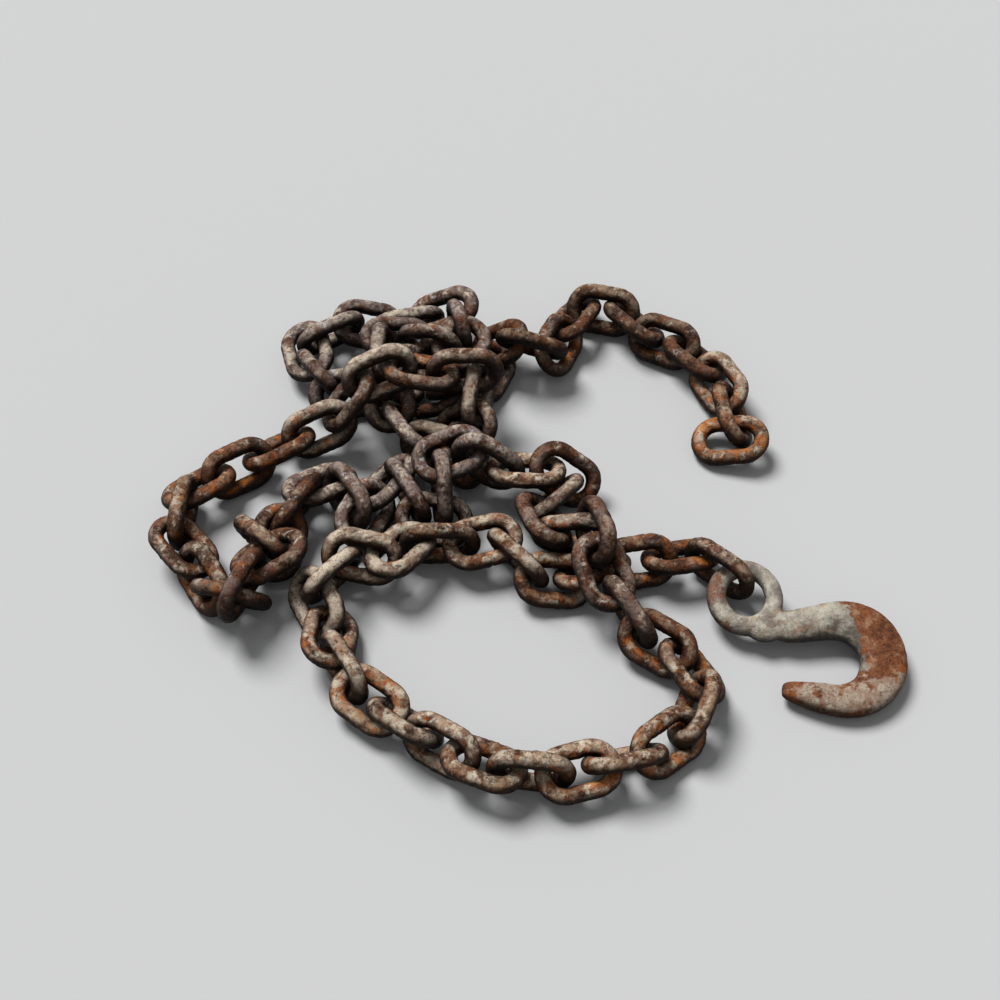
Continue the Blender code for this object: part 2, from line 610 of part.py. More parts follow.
def build():
    for old in list(bpy.data.objects):
        bpy.data.objects.remove(old, do_unlink=True)

    turn, height = hook_turn()
    place = np.array([*HOOK_PLACE, height])
    eye_corners, eye_faces = eye_ring()
    eye = (eye_corners @ turn.T + place, edges_of(eye_faces.tolist()), eye_faces)
    hook = hook_capsules(turn, place)

    centres, turns = thread_links(*lay_out())
    spacing = np.full(len(centres), 2 * REACH + GAP)
    spacing[0] = GAP
    centres, turns, _ = settle(centres, turns, hook, spacing, SETTLE_STEPS)
    centres, turns = bring_to_touch(centres, turns, hook, eye)
    shift = middle_shift(centres, turns, (turn, place))
    centres = centres + shift

    finishes = {name: material(name) for name in LINK_FINISHES}
    chain = bpy.data.objects.new("rusty_chain", None)
    bpy.context.scene.collection.objects.link(chain)

    body_corners, body_faces = hook_body()
    body = mesh_of("hook_body", body_corners, body_faces, finishes["hook_steel"])
    ring = mesh_of("hook_eye", eye_corners, eye_faces, finishes["hook_steel"])
    eye_hook = placed("eye_hook", body, turn, place + shift, chain)
    joined(eye_hook, placed("eye_ring", ring, turn, place + shift, chain, helper=True))

    links = {name: mesh_of(name[:-1], CORNERS, link_faces(), finishes[name])
             for name in ("near_links", "heap_links", "tail_links", "end_links")}
    firsts = paired_firsts()
    seconds = [first + 1 for first in firsts]
    for number, (centre, link_turn) in enumerate(zip(centres, turns), start=1):
        mesh = links[finish_of(number)]
        if number in seconds:
            other = placed(f"second_{number}", mesh, link_turn, centre, chain, helper=True)
            joined(bpy.data.objects[f"links_{number - 1}_{number}"], other)
        elif number in firsts:
            placed(f"links_{number}_{number + 1}", mesh, link_turn, centre, chain)
        else:
            placed(f"link_{number:02d}", mesh, link_turn, centre, chain)


build()
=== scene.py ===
# %% [markdown]
# # A rusty chain with a forged eye hook
#
# A heavy lifting chain has been left outside for years and lies in a loose heap. Its 92
# links are oblongs of round bar, each one closed by a weld, and the first link hangs in
# the eye of a forged hook. Every part of it has rusted: dark brown scale in the hollows,
# orange where the rust is fresh, and a pale dust of dirt and old paint on what faces up.
#
# The packed solids give each link's exact place, but their bars have five flat sides. So
# the lesson finds each link's place from its solid, bends a round bar through it, and
# then gives the surface the pits, worn seats and colours of real rusted steel.

import json
import math

import bmesh
import bpy
import numpy as np
from mathutils import Matrix, Vector, noise

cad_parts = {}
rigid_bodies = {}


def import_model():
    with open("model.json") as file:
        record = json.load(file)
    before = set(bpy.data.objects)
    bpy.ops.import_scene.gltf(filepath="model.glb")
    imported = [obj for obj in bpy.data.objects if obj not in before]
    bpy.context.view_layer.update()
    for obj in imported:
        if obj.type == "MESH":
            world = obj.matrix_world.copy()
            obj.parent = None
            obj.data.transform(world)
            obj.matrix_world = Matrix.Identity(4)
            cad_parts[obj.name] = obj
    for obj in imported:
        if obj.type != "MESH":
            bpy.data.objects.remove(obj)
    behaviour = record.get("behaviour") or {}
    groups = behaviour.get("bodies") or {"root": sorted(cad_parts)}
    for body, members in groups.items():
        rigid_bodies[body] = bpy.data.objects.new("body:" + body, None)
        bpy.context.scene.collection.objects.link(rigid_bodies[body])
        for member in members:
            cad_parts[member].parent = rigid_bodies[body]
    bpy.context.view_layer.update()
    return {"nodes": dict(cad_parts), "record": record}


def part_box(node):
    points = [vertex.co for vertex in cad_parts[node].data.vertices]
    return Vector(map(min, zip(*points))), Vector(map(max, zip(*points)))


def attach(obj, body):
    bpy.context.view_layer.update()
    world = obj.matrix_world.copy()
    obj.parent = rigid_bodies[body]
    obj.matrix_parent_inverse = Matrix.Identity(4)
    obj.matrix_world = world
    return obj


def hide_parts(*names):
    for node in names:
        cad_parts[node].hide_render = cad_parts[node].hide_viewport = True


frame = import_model()

# %% [markdown]
# ## The sizes of a link
#
# The real link is a round bar of 17 mm, bent to an oblong 84 mm long and 57 mm wide. Two
# half circles, the crowns, are joined by two straight sides. The solid has a bar with
# five flat sides and crowns of four straight steps, a little swelled so that it holds as
# much steel as the round bar does. Its corners are worked out again here from the same
# sizes, because they are what we look for in the packed solids.

# %% Sizes in metres
MM = 0.001
BAR = 8.5 * MM                  # half the bar's thickness
BEND = 20.0 * MM                # the crown's radius, at the bar's middle
STRAIGHT = 13.5 * MM            # half the straight side's length
FLAT_SIDES = 5                  # flat sides of the solid's bar
FLAT_REACH = BAR * 1.08         # the solid's bar, from its middle to a corner
FLAT_BEND = BEND * 1.03         # the solid's crown, at the bar's middle
CROWN_RINGS = 5                 # rings of corners along one crown


def solid_corners():
    """The 50 corners of one link's solid, ring by ring, about its own middle."""
    turn = np.radians(np.linspace(-90, 90, CROWN_RINGS))
    crown = np.stack([STRAIGHT + FLAT_BEND * np.cos(turn), FLAT_BEND * np.sin(turn), 0 * turn], axis=1)
    line = np.concatenate([crown, crown * (-1, -1, 1)])
    ahead = np.roll(line, -1, axis=0) - line
    ahead /= np.linalg.norm(ahead, axis=1)[:, None]
    along = ahead + np.roll(ahead, 1, axis=0)
    along /= np.linalg.norm(along, axis=1)[:, None]
    outward = np.stack([along[:, 1], -along[:, 0], 0 * along[:, 0]], axis=1)
    side = np.radians(np.arange(FLAT_SIDES) * 360 / FLAT_SIDES)
    return line[:, None] + FLAT_REACH * (np.cos(side)[None, :, None] * outward[:, None]
                                         + np.sin(side)[None, :, None] * np.array([0, 0, 1.0]))


rings = solid_corners()
corners = rings.reshape(-1, 3)
print("corners of one link's solid:", len(corners))

# %% [markdown]
# ## Which corners belong to one link
#
# Some links have rusted to the next one, so one solid can hold two links. Where they
# meet, the solid has a few cut edges of odd lengths. All its other edges are as long as
# the edges of one link's solid, to a few thousandths of a millimetre. So we keep only
# the edges with such a length, and the corners that they join are one link.

# %% Split a solid into its links
SAME_POINT = 0.02 * MM
SAME_LENGTH = 0.004 * MM


def true_lengths():
    """The lengths that an edge of an uncut link can have."""
    round_bar = np.linalg.norm(rings - np.roll(rings, -1, axis=1), axis=2)
    along_bar = np.linalg.norm(rings - np.roll(rings, -1, axis=0), axis=2)
    return np.unique(np.round(np.concatenate([round_bar, along_bar]).ravel(), 8))


def corner_groups(node):
    """Groups of corners that uncut edges join, the largest first."""
    shape = bmesh.new()
    shape.from_mesh(frame["nodes"][node].data)
    bmesh.ops.remove_doubles(shape, verts=shape.verts, dist=SAME_POINT)
    shape.verts.index_update()
    points = np.array([v.co for v in shape.verts])
    edges = np.array([[v.index for v in edge.verts] for edge in shape.edges])
    shape.free()
    length = np.linalg.norm(points[edges[:, 0]] - points[edges[:, 1]], axis=1)
    uncut = edges[(np.abs(length[:, None] - lengths[None]) < SAME_LENGTH).any(axis=1)]
    # Every corner starts with its own label, and an uncut edge gives both its ends the lower one.
    label = np.arange(len(points))
    for _ in range(len(points)):
        low = np.minimum(label[uncut[:, 0]], label[uncut[:, 1]])
        before = label.copy()
        np.minimum.at(label, uncut[:, 0], low)
        np.minimum.at(label, uncut[:, 1], low)
        if (label == before).all():
            break
    groups = [points[label == k] for k in np.unique(label)]
    return sorted(groups, key=len, reverse=True)


lengths = true_lengths()
print("uncut edges: from", round(lengths.min() / MM, 2), "to", round(lengths.max() / MM, 2), "mm long")

# %% [markdown]
# ## Where each link lies
#
# A link is long, less wide and thin, so the three main directions of its corners are
# already close to its own axes. From there, each corner is paired with the nearest
# corner of the plain link and the turn that fits the pairs best is found, again and
# again, until the fit is exact. Only near pairs count, and what counts as near shrinks
# each time, so that a corner on a cut edge soon drops out.

# %% Fit the plain link to the corners
FIT_ROUNDS = 40
FIRST_REACH = 12 * MM
LAST_REACH = 0.1 * MM
REACH_SHRINKS = 0.8


def fitted(points):
    """The middle and axes (as columns) of the link with these corners, and how many match."""
    middle = points.mean(axis=0)
    axes = np.linalg.svd(points - middle)[2].T
    axes[:, 2] *= np.sign(np.linalg.det(axes))
    reach = FIRST_REACH
    for _ in range(FIT_ROUNDS):
        gaps = np.linalg.norm(((points - middle) @ axes)[:, None] - corners[None], axis=2)
        near, keep = gaps.argmin(axis=1), gaps.min(axis=1) < reach
        theirs, ours = points[keep], corners[near[keep]]
        there, here = theirs.mean(axis=0), ours.mean(axis=0)
        # The turn that brings our corners closest to theirs.
        u, _, vt = np.linalg.svd((ours - here).T @ (theirs - there))
        axes = vt.T @ np.diag([1, 1, np.sign(np.linalg.det(vt.T @ u.T))]) @ u.T
        middle = there - axes @ here
        reach = max(LAST_REACH, reach * REACH_SHRINKS)
    return middle, axes, int(keep.sum())


def links_of(node):
    """Numbers of the links that a node holds, from its name."""
    return [int(word) for word in node.split("_")[1:]]


link_nodes = sorted(node for node in frame["nodes"] if node.startswith("link"))
places = {}
matches = []
for node in link_nodes:
    for number, group in zip(links_of(node), corner_groups(node)):
        middle, axes, matched = fitted(group)
        places[number] = (middle, axes)
        matches.append(matched)
print("links placed:", len(places), "- fewest matching corners on a link:", min(matches))

# %% [markdown]
# ## Bending the bar
#
# A smith heats a bar, bends it round a mandrel and welds its ends. Here a circle stands
# for the bar's section. Spin turns it round the middle of one crown and leaves a bent
# tube behind it, spin with no angle and a step forward draws the straight side, and the
# same two steps close the ring. Spin never makes a wrong face, so it is the surest way.

# %% One smooth link
BAR_SIDES = 34
CROWN_STEPS = 30
SIDE_STEPS = 14
JOINED = 0.05 * MM


def spun(shape, front, middle, step, angle, steps):
    """Spin an open end round a middle, or along a step, and return its new end."""
    made = bmesh.ops.spin(shape, geom=front, cent=middle, axis=(0, 0, 1), dvec=step, angle=angle,
                          steps=steps, use_merge=False, use_duplicate=False)
    return [part for part in made["geom_last"] if isinstance(part, bmesh.types.BMEdge)]


def smooth_link():
    """A mesh of one link about its own middle: long axis X, cross axis Y."""
    shape = bmesh.new()
    stand = Matrix.Translation((STRAIGHT, -BEND, 0)) @ Matrix.Rotation(math.radians(90), 4, "Y")
    bmesh.ops.create_circle(shape, segments=BAR_SIDES, radius=BAR, matrix=stand)
    front = list(shape.edges)
    for sign in (1, -1):
        front = spun(shape, front, (sign * STRAIGHT, 0, 0), (0, 0, 0), math.pi, CROWN_STEPS)
        front = spun(shape, front, (0, 0, 0), (-sign * 2 * STRAIGHT / SIDE_STEPS, 0, 0), 0, SIDE_STEPS)
    bmesh.ops.remove_doubles(shape, verts=shape.verts, dist=JOINED)
    bmesh.ops.recalc_face_normals(shape, faces=shape.faces)
    for face in shape.faces:
        face.smooth = True
    made = bpy.data.meshes.new("smooth_link")
    shape.to_mesh(made)
    shape.free()
    return made


plain = smooth_link()
plain_points = np.array([v.co for v in plain.vertices])
print("smooth link:", len(plain.polygons), "faces,", np.round(np.ptp(plain_points, axis=0) / MM, 1), "mm")

# %% [markdown]
# ## No two links are the same
#
# Chain is made fast, so each link differs a little: one bar is thicker, one oblong is
# longer, and the weld leaves a low ring round one straight side. These differences are
# small, about a millimetre, but without them a heap of links looks copied.

# %% Vary a link
BAR_RANGE = (0.92, 1.01)        # shares of the plain link's own sizes
LENGTH_RANGE = (0.997, 1.004)
WIDTH_RANGE = (0.99, 1.008)
WELD_HEIGHT = 0.05              # share of the bar's thickness
WELD_WIDTH = 2.4 * MM
WELD_REACH = 4 * MM             # how far the weld can be from the side's middle
TINY = 0.001 * MM
chance = np.random.default_rng(20)


def bar_middle(points):
    """The nearest places on the bar's middle line, for points about the plain link."""
    x, y, _ = points.T
    over = np.clip(x, -STRAIGHT, STRAIGHT)
    spread = np.maximum(np.hypot(x - over, y), TINY)
    return np.stack([over + (x - over) * BEND / spread, y * BEND / spread, 0 * x], axis=1)


def varied(points):
    """The plain link's points with this link's own bar, length and weld."""
    x, y, _ = points.T
    middle = bar_middle(points)
    weld_side = 1 if chance.random() < 0.5 else -1
    weld_at = chance.uniform(-WELD_REACH, WELD_REACH)
    on_side = (np.abs(x) < STRAIGHT + WELD_REACH) & (y * weld_side > 0)
    ring = np.where(on_side, np.exp(-((x - weld_at) / WELD_WIDTH) ** 2), 0)
    thickness = chance.uniform(*BAR_RANGE) + WELD_HEIGHT * ring
    grown = middle + (points - middle) * thickness[:, None]
    return grown * np.array([chance.uniform(*LENGTH_RANGE), chance.uniform(*WIDTH_RANGE), 1])


radii = np.linalg.norm(plain_points - bar_middle(plain_points), axis=1)
print("half the plain bar's thickness:", round(float(radii.mean()) / MM, 2), "mm")

# %% [markdown]
# ## Worn seats
#
# Where two links have hung in each other, their bars have worn into one another. A point
# of this link that would lie inside its neighbour's bar is pushed back to the surface
# half way between the two, so that both bars get a shallow seat and neither cuts the
# other. The same distance tells later how far a point is from the next link, and so
# where fresh rust collects and where the finish paints the shade between the links.

# %% Distance to the bars of other links
SEAT_GAP = 0.1 * MM
GROUND = 0.1 * MM               # no point lies lower than this
NEIGHBOUR = 100 * MM            # links whose middles are further apart can't touch
FAR = 1.0                       # the distance of a point with no link near it


def to_bar(points, place):
    """Distance from each point to a link's bar middle, and the direction from it."""
    middle, axes = place
    local = (points - middle) @ axes
    away = local - bar_middle(local)
    far = np.maximum(np.linalg.norm(away, axis=1), TINY)
    return far, (away / far[:, None]) @ axes.T


def seated(points, number):
    """Points pushed out of other links' bars, and how near each is to another bar."""
    clearance = np.full(len(points), FAR)
    moved = points.copy()
    for other, place in places.items():
        if other == number or np.linalg.norm(place[0] - places[number][0]) > NEIGHBOUR:
            continue
        far, away = to_bar(points, place)
        inside = np.maximum(BAR + SEAT_GAP - far, 0)
        moved += away * (inside / 2)[:, None]
        clearance = np.minimum(clearance, far - BAR)
    moved[:, 2] = np.maximum(moved[:, 2], GROUND)
    return moved, np.maximum(clearance, 0)


middles = np.array([place[0] for place in places.values()])
apart = np.linalg.norm(middles[:, None] - middles[None], axis=2)
print("pairs of links near enough to touch:", int((apart < NEIGHBOUR).sum() - len(places)) // 2)

# %% [markdown]
# ## Scale and pits
#
# Rust lifts off in flakes and leaves the bar lumpy: broad, shallow waves a finger wide,
# and pits of a few millimetres between them. Both are cut into the mesh itself, along
# the surface's own direction, so that they show on the outline too. Finer grain than a
# millimetre is left to the finish.

# %% Roughen a surface
WAVES = [  # waves a metre, height in millimetres, shift
    (70, 0.45, (0, 0, 0)), (210, 0.38, (3, 7, 1)), (520, 0.18, (9, 2, 5)),
]
PITS = 330                      # pits a metre
PITS_SHIFT = Vector((5, 5, 5))
PITS_START = 0.22               # noise above this is a pit
PITS_DEPTH = 2.0


def roughness_at(point, pit):
    """How far rust moves the surface out at a point, in metres; pit scales the pits."""
    waves = sum(height * noise.noise(point * count + Vector(shift)) for count, height, shift in WAVES)
    deep = max(0.0, noise.noise(point * PITS + PITS_SHIFT) - PITS_START)
    return (waves - PITS_DEPTH * pit * deep) * MM


def roughened(points, directions):
    """Points moved along their directions by the rust's scale and pits."""
    depth = np.array([roughness_at(Vector(point), 1.0) for point in points])
    return points + directions * depth[:, None]


depths = [roughness_at(Vector(point), 1.0) / MM for point in plain_points[::20]]
print("rust moves the surface from", round(min(depths), 2), "to", round(max(depths), 2), "mm")

# %% [markdown]
# ## How each stretch has weathered
#
# The chain did not rust evenly. Some stretches kept a pale film of old dust, some have
# broken out in fresh orange rust, and the deep part of the heap stayed cool and grey.
# The list gives these three amounts for each stretch, mostly from 0 to 1. A little
# chance on top makes every link its own. The mesh carries the amounts as colours, where
# the finish reads them.

# %% Weathering of the stretches
STRETCHES = [  # last link, pale film, fresh rust, cool oxide
    (1, 0.62, 0.40, 0.20), (3, 0.46, 0.58, 0.05), (4, 0.60, 0.58, 0.00), (6, 0.75, 0.54, 0.00),
    (8, 0.65, 0.40, 0.30), (12, 0.92, 0.45, 0.45), (13, 0.55, 0.50, 0.20), (20, 0.72, 0.48, 0.15),
    (23, 0.66, 0.60, 0.05), (25, 0.48, 0.50, 0.30), (31, 0.42, 0.30, 0.60), (33, 0.50, 0.40, 0.30),
    (42, 0.50, 0.22, 0.90), (49, 0.45, 0.46, 0.35), (54, 0.45, 0.56, 0.15), (60, 0.68, 0.42, 0.50),
    (62, 0.70, 0.52, 0.40), (70, 0.42, 0.22, 0.85), (77, 0.52, 0.15, 1.00), (81, 0.38, 0.22, 0.70),
    (89, 0.34, 0.38, 0.15), (90, 0.66, 0.80, 0.05), (91, 0.60, 0.50, 0.10), (92, 0.62, 0.94, 0.00),
]
SPREAD = 0.2                    # how far chance moves a link's film and fresh rust
COOL_SPREAD = 0.15
WEAR_AND_SHADE = "wear"                   # the mesh colours that carry the amounts
CAST = "cast"


def character(number):
    """Pale film, fresh rust, cool oxide and shade of one link."""
    pale, fresh, cool = next(row[1:] for row in STRETCHES if number <= row[0])
    return (pale + chance.uniform(-SPREAD, SPREAD), fresh + chance.uniform(-SPREAD, SPREAD),
            cool + chance.uniform(-COOL_SPREAD, COOL_SPREAD), chance.uniform(0, 1))


def inner_side(points):
    """How much each point of the plain link faces the link's own hole, from 0 to 1."""
    over = np.clip(points[:, 0], -STRAIGHT, STRAIGHT)
    return np.clip((BEND - np.hypot(points[:, 0] - over, points[:, 1])) / BAR, 0, 1)


def paint_points(mesh, name, columns):
    """Write columns of amounts to the mesh's points as a colour attribute."""
    values = np.stack([np.clip(column, 0, 1) for column in columns] + [np.ones(len(columns[0]))], axis=1)
    layer = mesh.attributes.new(name, "FLOAT_COLOR", "POINT")
    layer.data.foreach_set("color", values.astype(np.float32).ravel())


print("stretches:", len(STRETCHES), "- last link:", STRETCHES[-1][0])

# %% [markdown]
# ## The links of one node
#
# A node's piece is its one or two links in one mesh. Each is varied, set in its place
# and seated against its neighbours. Then the whole surface is roughened along its own
# normals, which the mesh only knows once its points are in place.

# %% Make a node's links
NEAR_FADE = 5 * MM              # how fast the painted shade near a neighbour, and its rim of fresh rust, fade


def laid_links(node):
    """Points of a node's links, how near they are to other links, and the links' amounts."""
    places_of_points, nearness, kinds = [], [], []
    for number in links_of(node):
        middle, axes = places[number]
        points, clearance = seated(varied(plain_points) @ axes.T + middle, number)
        places_of_points.append(points)
        nearness.append(np.exp(-clearance / NEAR_FADE))
        kinds.append(np.tile(character(number), (len(points), 1)))
    return np.concatenate(places_of_points), np.concatenate(nearness), np.concatenate(kinds)


def move_points(mesh, points):
    """Give a mesh's vertices new places."""
    mesh.vertices.foreach_set("co", points.ravel())
    mesh.update()


def link_piece(node, finish):
    """One mesh with all the links that a node holds."""
    numbers = links_of(node)
    shape = bmesh.new()
    for _ in numbers:
        shape.from_mesh(plain)
    made = bpy.data.meshes.new(node + "_bar")
    shape.to_mesh(made)
    shape.free()
    points, nearness, kinds = laid_links(node)
    move_points(made, points)
    points = roughened(points, np.array([v.normal for v in made.vertices]))
    points[:, 2] = np.maximum(points[:, 2], GROUND)
    move_points(made, points)
    pale, fresh, cool, shade = kinds.T
    paint_points(made, WEAR_AND_SHADE, [nearness, pale, fresh])
    paint_points(made, CAST, [cool, shade, np.tile(inner_side(plain_points), len(numbers))])
    made.materials.append(finish)
    piece = bpy.data.objects.new(node + "_bar", made)
    bpy.context.scene.collection.objects.link(piece)
    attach(piece, "root")
    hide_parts(node)
    return piece


print("nodes of links to make:", len(link_nodes))

# %% [markdown]
# ## How rust is coloured
#
# Old rust is never one colour. Under everything is a dark umber scale. Over it lie brown
# and purplish iron oxides in patches a finger wide, then a thin dusty film of tan where
# the surface faces the sky and rain has left its dirt. Because the film is kept to the
# tops, it is also a painted highlight there. Fresh rust is orange: it breaks out in
# patches and where two links rub. Last come the dark specks of open pits, and over all a
# painted shade between the links and on the undersides. The finish is built in the same
# order, each layer mixed over the last by a noise of its own size. The pattern uses the
# object's own coordinates, so it runs on from link to link with no repeat. A small class
# keeps the making of nodes out of the recipes.

# %% Helpers for building a finish
class Finish:
    """A new material with a few short ways to add nodes to it."""

    def __init__(self, name):
        self.material = bpy.data.materials.new(name)
        self.material.use_nodes = True
        self.tree = self.material.node_tree
        self.shader = self.tree.nodes["Principled BSDF"]
        self.where = self.tree.nodes.new("ShaderNodeTexCoord").outputs["Object"]
        self.facing = self.tree.nodes.new("ShaderNodeNewGeometry").outputs["Normal"]

    def feed(self, value, socket):
        """Set a socket to a number or colour, or link another socket to it."""
        if isinstance(value, (int, float, tuple)):
            socket.default_value = value
        else:
            self.tree.links.new(value, socket)

    def grain(self, scale, detail=4.0, rough=0.55, twist=0.0, shift=(0, 0, 0)):
        """Noise of a given scale, in features a metre."""
        mapping = self.tree.nodes.new("ShaderNodeMapping")
        mapping.inputs["Location"].default_value = shift
        made = self.tree.nodes.new("ShaderNodeTexNoise")
        made.inputs["Scale"].default_value = scale
        made.inputs["Detail"].default_value = detail
        made.inputs["Roughness"].default_value = rough
        made.inputs["Distortion"].default_value = twist
        self.feed(self.where, mapping.inputs["Vector"])
        self.feed(mapping.outputs["Vector"], made.inputs["Vector"])
        return made.outputs["Fac"]

    def ramp(self, source, stops, smooth=False):
        """A colour ramp; stops are (position, colour or grey value)."""
        made = self.tree.nodes.new("ShaderNodeValToRGB")
        made.color_ramp.interpolation = "EASE" if smooth else "LINEAR"
        while len(made.color_ramp.elements) < len(stops):
            made.color_ramp.elements.new(0.5)
        for element, (position, value) in zip(made.color_ramp.elements, stops):
            element.position = position
            element.color = value if isinstance(value, tuple) else (value, value, value, 1)
        self.feed(source, made.inputs["Fac"])
        return made.outputs["Color"]

    def arithmetic(self, kind, one, two):
        """One step of arithmetic on two sockets or numbers."""
        made = self.tree.nodes.new("ShaderNodeMath")
        made.operation = kind
        self.feed(one, made.inputs[0])
        self.feed(two, made.inputs[1])
        return made.outputs["Value"]

    def add(self, one, two):
        """The sum of two amounts."""
        return self.arithmetic("ADD", one, two)

    def times(self, one, two):
        """The product of two amounts."""
        return self.arithmetic("MULTIPLY", one, two)

    def centred(self, value):
        """An amount from 0 to 1, moved to lie round 0."""
        return self.arithmetic("SUBTRACT", value, 0.5)

    def over(self, under, layer, amount, kind="MIX"):
        """A layer mixed over what is under it, by an amount."""
        made = self.tree.nodes.new("ShaderNodeMix")
        made.data_type = "RGBA"
        made.blend_type = kind
        for value, name in ((amount, "Factor"), (under, "A"), (layer, "B")):
            wanted = "VALUE" if name == "Factor" else "RGBA"
            self.feed(value, next(s for s in made.inputs if s.name == name and s.type == wanted))
        return next(s for s in made.outputs if s.type == "RGBA")

    def shaded(self, colour, by):
        """A colour made darker or lighter by a grey or a number."""
        return self.over(colour, by, 1.0, kind="MULTIPLY")

    def channels(self, attribute):
        """The red, green and blue of a colour attribute."""
        read = self.tree.nodes.new("ShaderNodeAttribute")
        read.attribute_name = attribute
        split = self.tree.nodes.new("ShaderNodeSeparateColor")
        self.feed(read.outputs["Color"], split.inputs["Color"])
        return split.outputs["Red"], split.outputs["Green"], split.outputs["Blue"]

    def upward(self):
        """1 where the surface faces the sky, 0 on its side and below."""
        split = self.tree.nodes.new("ShaderNodeSeparateXYZ")
        self.feed(self.facing, split.inputs["Vector"])
        return split.outputs["Z"]

    def bumps(self, layers):
        """Fine relief from (height socket, depth in metres) pairs."""
        below = None
        for height, depth in layers:
            made = self.tree.nodes.new("ShaderNodeBump")
            made.inputs["Strength"].default_value = 1.0
            made.inputs["Distance"].default_value = depth
            self.feed(height, made.inputs["Height"])
            if below is not None:
                self.feed(below, made.inputs["Normal"])
            below = made.outputs["Normal"]
        self.feed(below, self.shader.inputs["Normal"])


print("ways to add nodes:", sum(1 for name in vars(Finish) if not name.startswith("_")))

# %% [markdown]
# ## The colours of rusted steel
#
# The colours are given as a screen shows them, from 0 to 255, and turned to the linear
# values that light adds up in. The browns and greys are the iron oxides, the pale ones
# are dust and dried dirt, which on the tops of the bars are also a painted highlight,
# and the oranges are rust that is still fresh. The near-black is for pits and for
# painted shade.

# %% Colours
def linear(red, green, blue):
    """A colour given in display values from 0 to 255, as the shader wants it."""
    def one(value):
        value /= 255
        return value / 12.92 if value <= 0.04045 else ((value + 0.055) / 1.055) ** 2.4
    return (one(red), one(green), one(blue), 1)


SOOT_AND_SHADE = linear(32, 20, 15)
UMBER = linear(60, 36, 26)
BROWN = linear(118, 74, 50)
TAUPE = linear(130, 112, 108)
TAN = linear(182, 151, 122)
ASH = linear(166, 156, 152)
PALE = linear(218, 204, 184)
FROST_AND_HIGHLIGHT = linear(208, 202, 200)
DEEP_ORANGE = linear(128, 70, 38)
ORANGE = linear(190, 106, 46)
EMBER = linear(206, 118, 44)
OCHRE = linear(208, 152, 92)
print("darkest and palest, linear:", [round(v, 3) for v in SOOT_AND_SHADE[:3]], [round(v, 3) for v in PALE[:3]])

# %% [markdown]
# ## Amounts that guide the rust
#
# A patch of rust is noise that is cut off at a level. To make the patches follow the
# weathering, the noise is first lifted where an amount is high, so that more of it comes
# over the level. The amounts come from the mesh. Fresh rust gets two more: it sits in a
# rim round each worn seat, and on the side of the bar that faces the link's own hole.

# %% The chain's own kind of finish
class BarRust(Finish):
    """A finish that knows the amounts that the bars' meshes carry."""

    def __init__(self, name):
        super().__init__(name)
        self.near, self.pale, fresh = self.channels(WEAR_AND_SHADE)
        self.cool, self.shade, inner = self.channels(CAST)
        # up is 1 on the tops of the bars. The film, chalk and frost are kept to it, so besides the dust
        # that settles on top they paint a highlight there.
        self.up = self.ramp(self.upward(), [(0.28, 0.0), (0.58, 0.6), (0.86, 1.0)])
        rim = self.ramp(self.near, [(0.05, 0.0), (0.22, 1.0), (0.5, 0.0)])
        self.fresh = self.add(fresh, self.add(self.times(rim, 0.20), self.times(inner, 0.34)))
        self.grit = self.times(self.centred(self.grain(260, detail=5, rough=0.7, shift=(1, 1, 8))), 0.16)

    def level(self, scale, shift, amount, weight, twist=0.4):
        """Noise that is lifted where an amount is high."""
        plain_noise = self.grain(scale, detail=6, rough=0.64, twist=twist, shift=shift)
        return self.add(plain_noise, self.times(self.centred(amount), weight))

    def patches(self, scale, shift, amount, weight, stops):
        """Patches of noise whose cover grows with an amount."""
        return self.ramp(self.level(scale, shift, amount, weight), stops)

    def outbreak(self, under, scale, shift, twist, start):
        """Fresh rust over a colour: dark and thin at its edge, bright in its middle."""
        height = self.add(self.level(scale, shift, self.fresh, 0.24, twist), self.grit)
        hue = self.ramp(height, [(start + 0.01, DEEP_ORANGE), (start + 0.09, ORANGE),
                                 (start + 0.15, EMBER), (start + 0.22, OCHRE)])
        return self.over(under, hue, self.ramp(height, [(start, 0.0), (start + 0.16, 0.88)]))


print("a bar's finish reads the mesh colours", WEAR_AND_SHADE, "and", CAST)

# %% [markdown]
# ## The layers of the chain's finish
#
# The order of the layers is the order in which they formed: scale, dust, fresh rust that
# breaks through the dust, chalky dirt with small spots of fresh rust in it, and at last
# the open pits and crumbs. The dust and chalky dirt are kept to the tops, so they are also
# a painted highlight there. Over all of it comes painted shade: the seats, where a
# neighbour keeps the light away, are painted nearly black, and the sides and undersides
# are painted darker the more they face down.

# %% Layers of rust
def old_scale(rust):
    """Umber and brown scale with cool patches, under a film of tan and ash on the tops: dust, and a
    painted highlight.
    """
    colour = rust.ramp(rust.grain(64, detail=5, rough=0.58), [(0.40, UMBER), (0.60, BROWN)], smooth=True)
    oxide = rust.patches(52, (2, 0, 5), rust.cool, 0.16, [(0.49, 0.0), (0.62, 0.75)])
    colour = rust.over(colour, TAUPE, oxide)
    film = rust.patches(62, (4, 1, 0), rust.pale, 0.26, [(0.455, 0.0), (0.62, 0.92)])
    dust = rust.over(TAN, ASH, rust.times(rust.cool, 0.85))
    # The film on the tops is dust, and also a painted highlight.
    return rust.over(colour, dust, rust.times(film, rust.up))


def chalk_frost_and_highlight(rust, colour):
    """Dried dirt in warm and cool flecks on what faces up, and with it a painted highlight on the tops.
    """
    chalk_and_highlight = rust.patches(90, (0, 6, 2), rust.pale, 0.24, [(0.525, 0.0), (0.64, 0.95)])
    colour = rust.over(colour, PALE, rust.times(chalk_and_highlight, rust.up))
    frost_and_highlight = rust.patches(135, (5, 0, 9), rust.cool, 0.10, [(0.60, 0.0), (0.68, 0.75)])
    return rust.over(colour, FROST_AND_HIGHLIGHT, rust.times(frost_and_highlight, rust.up))


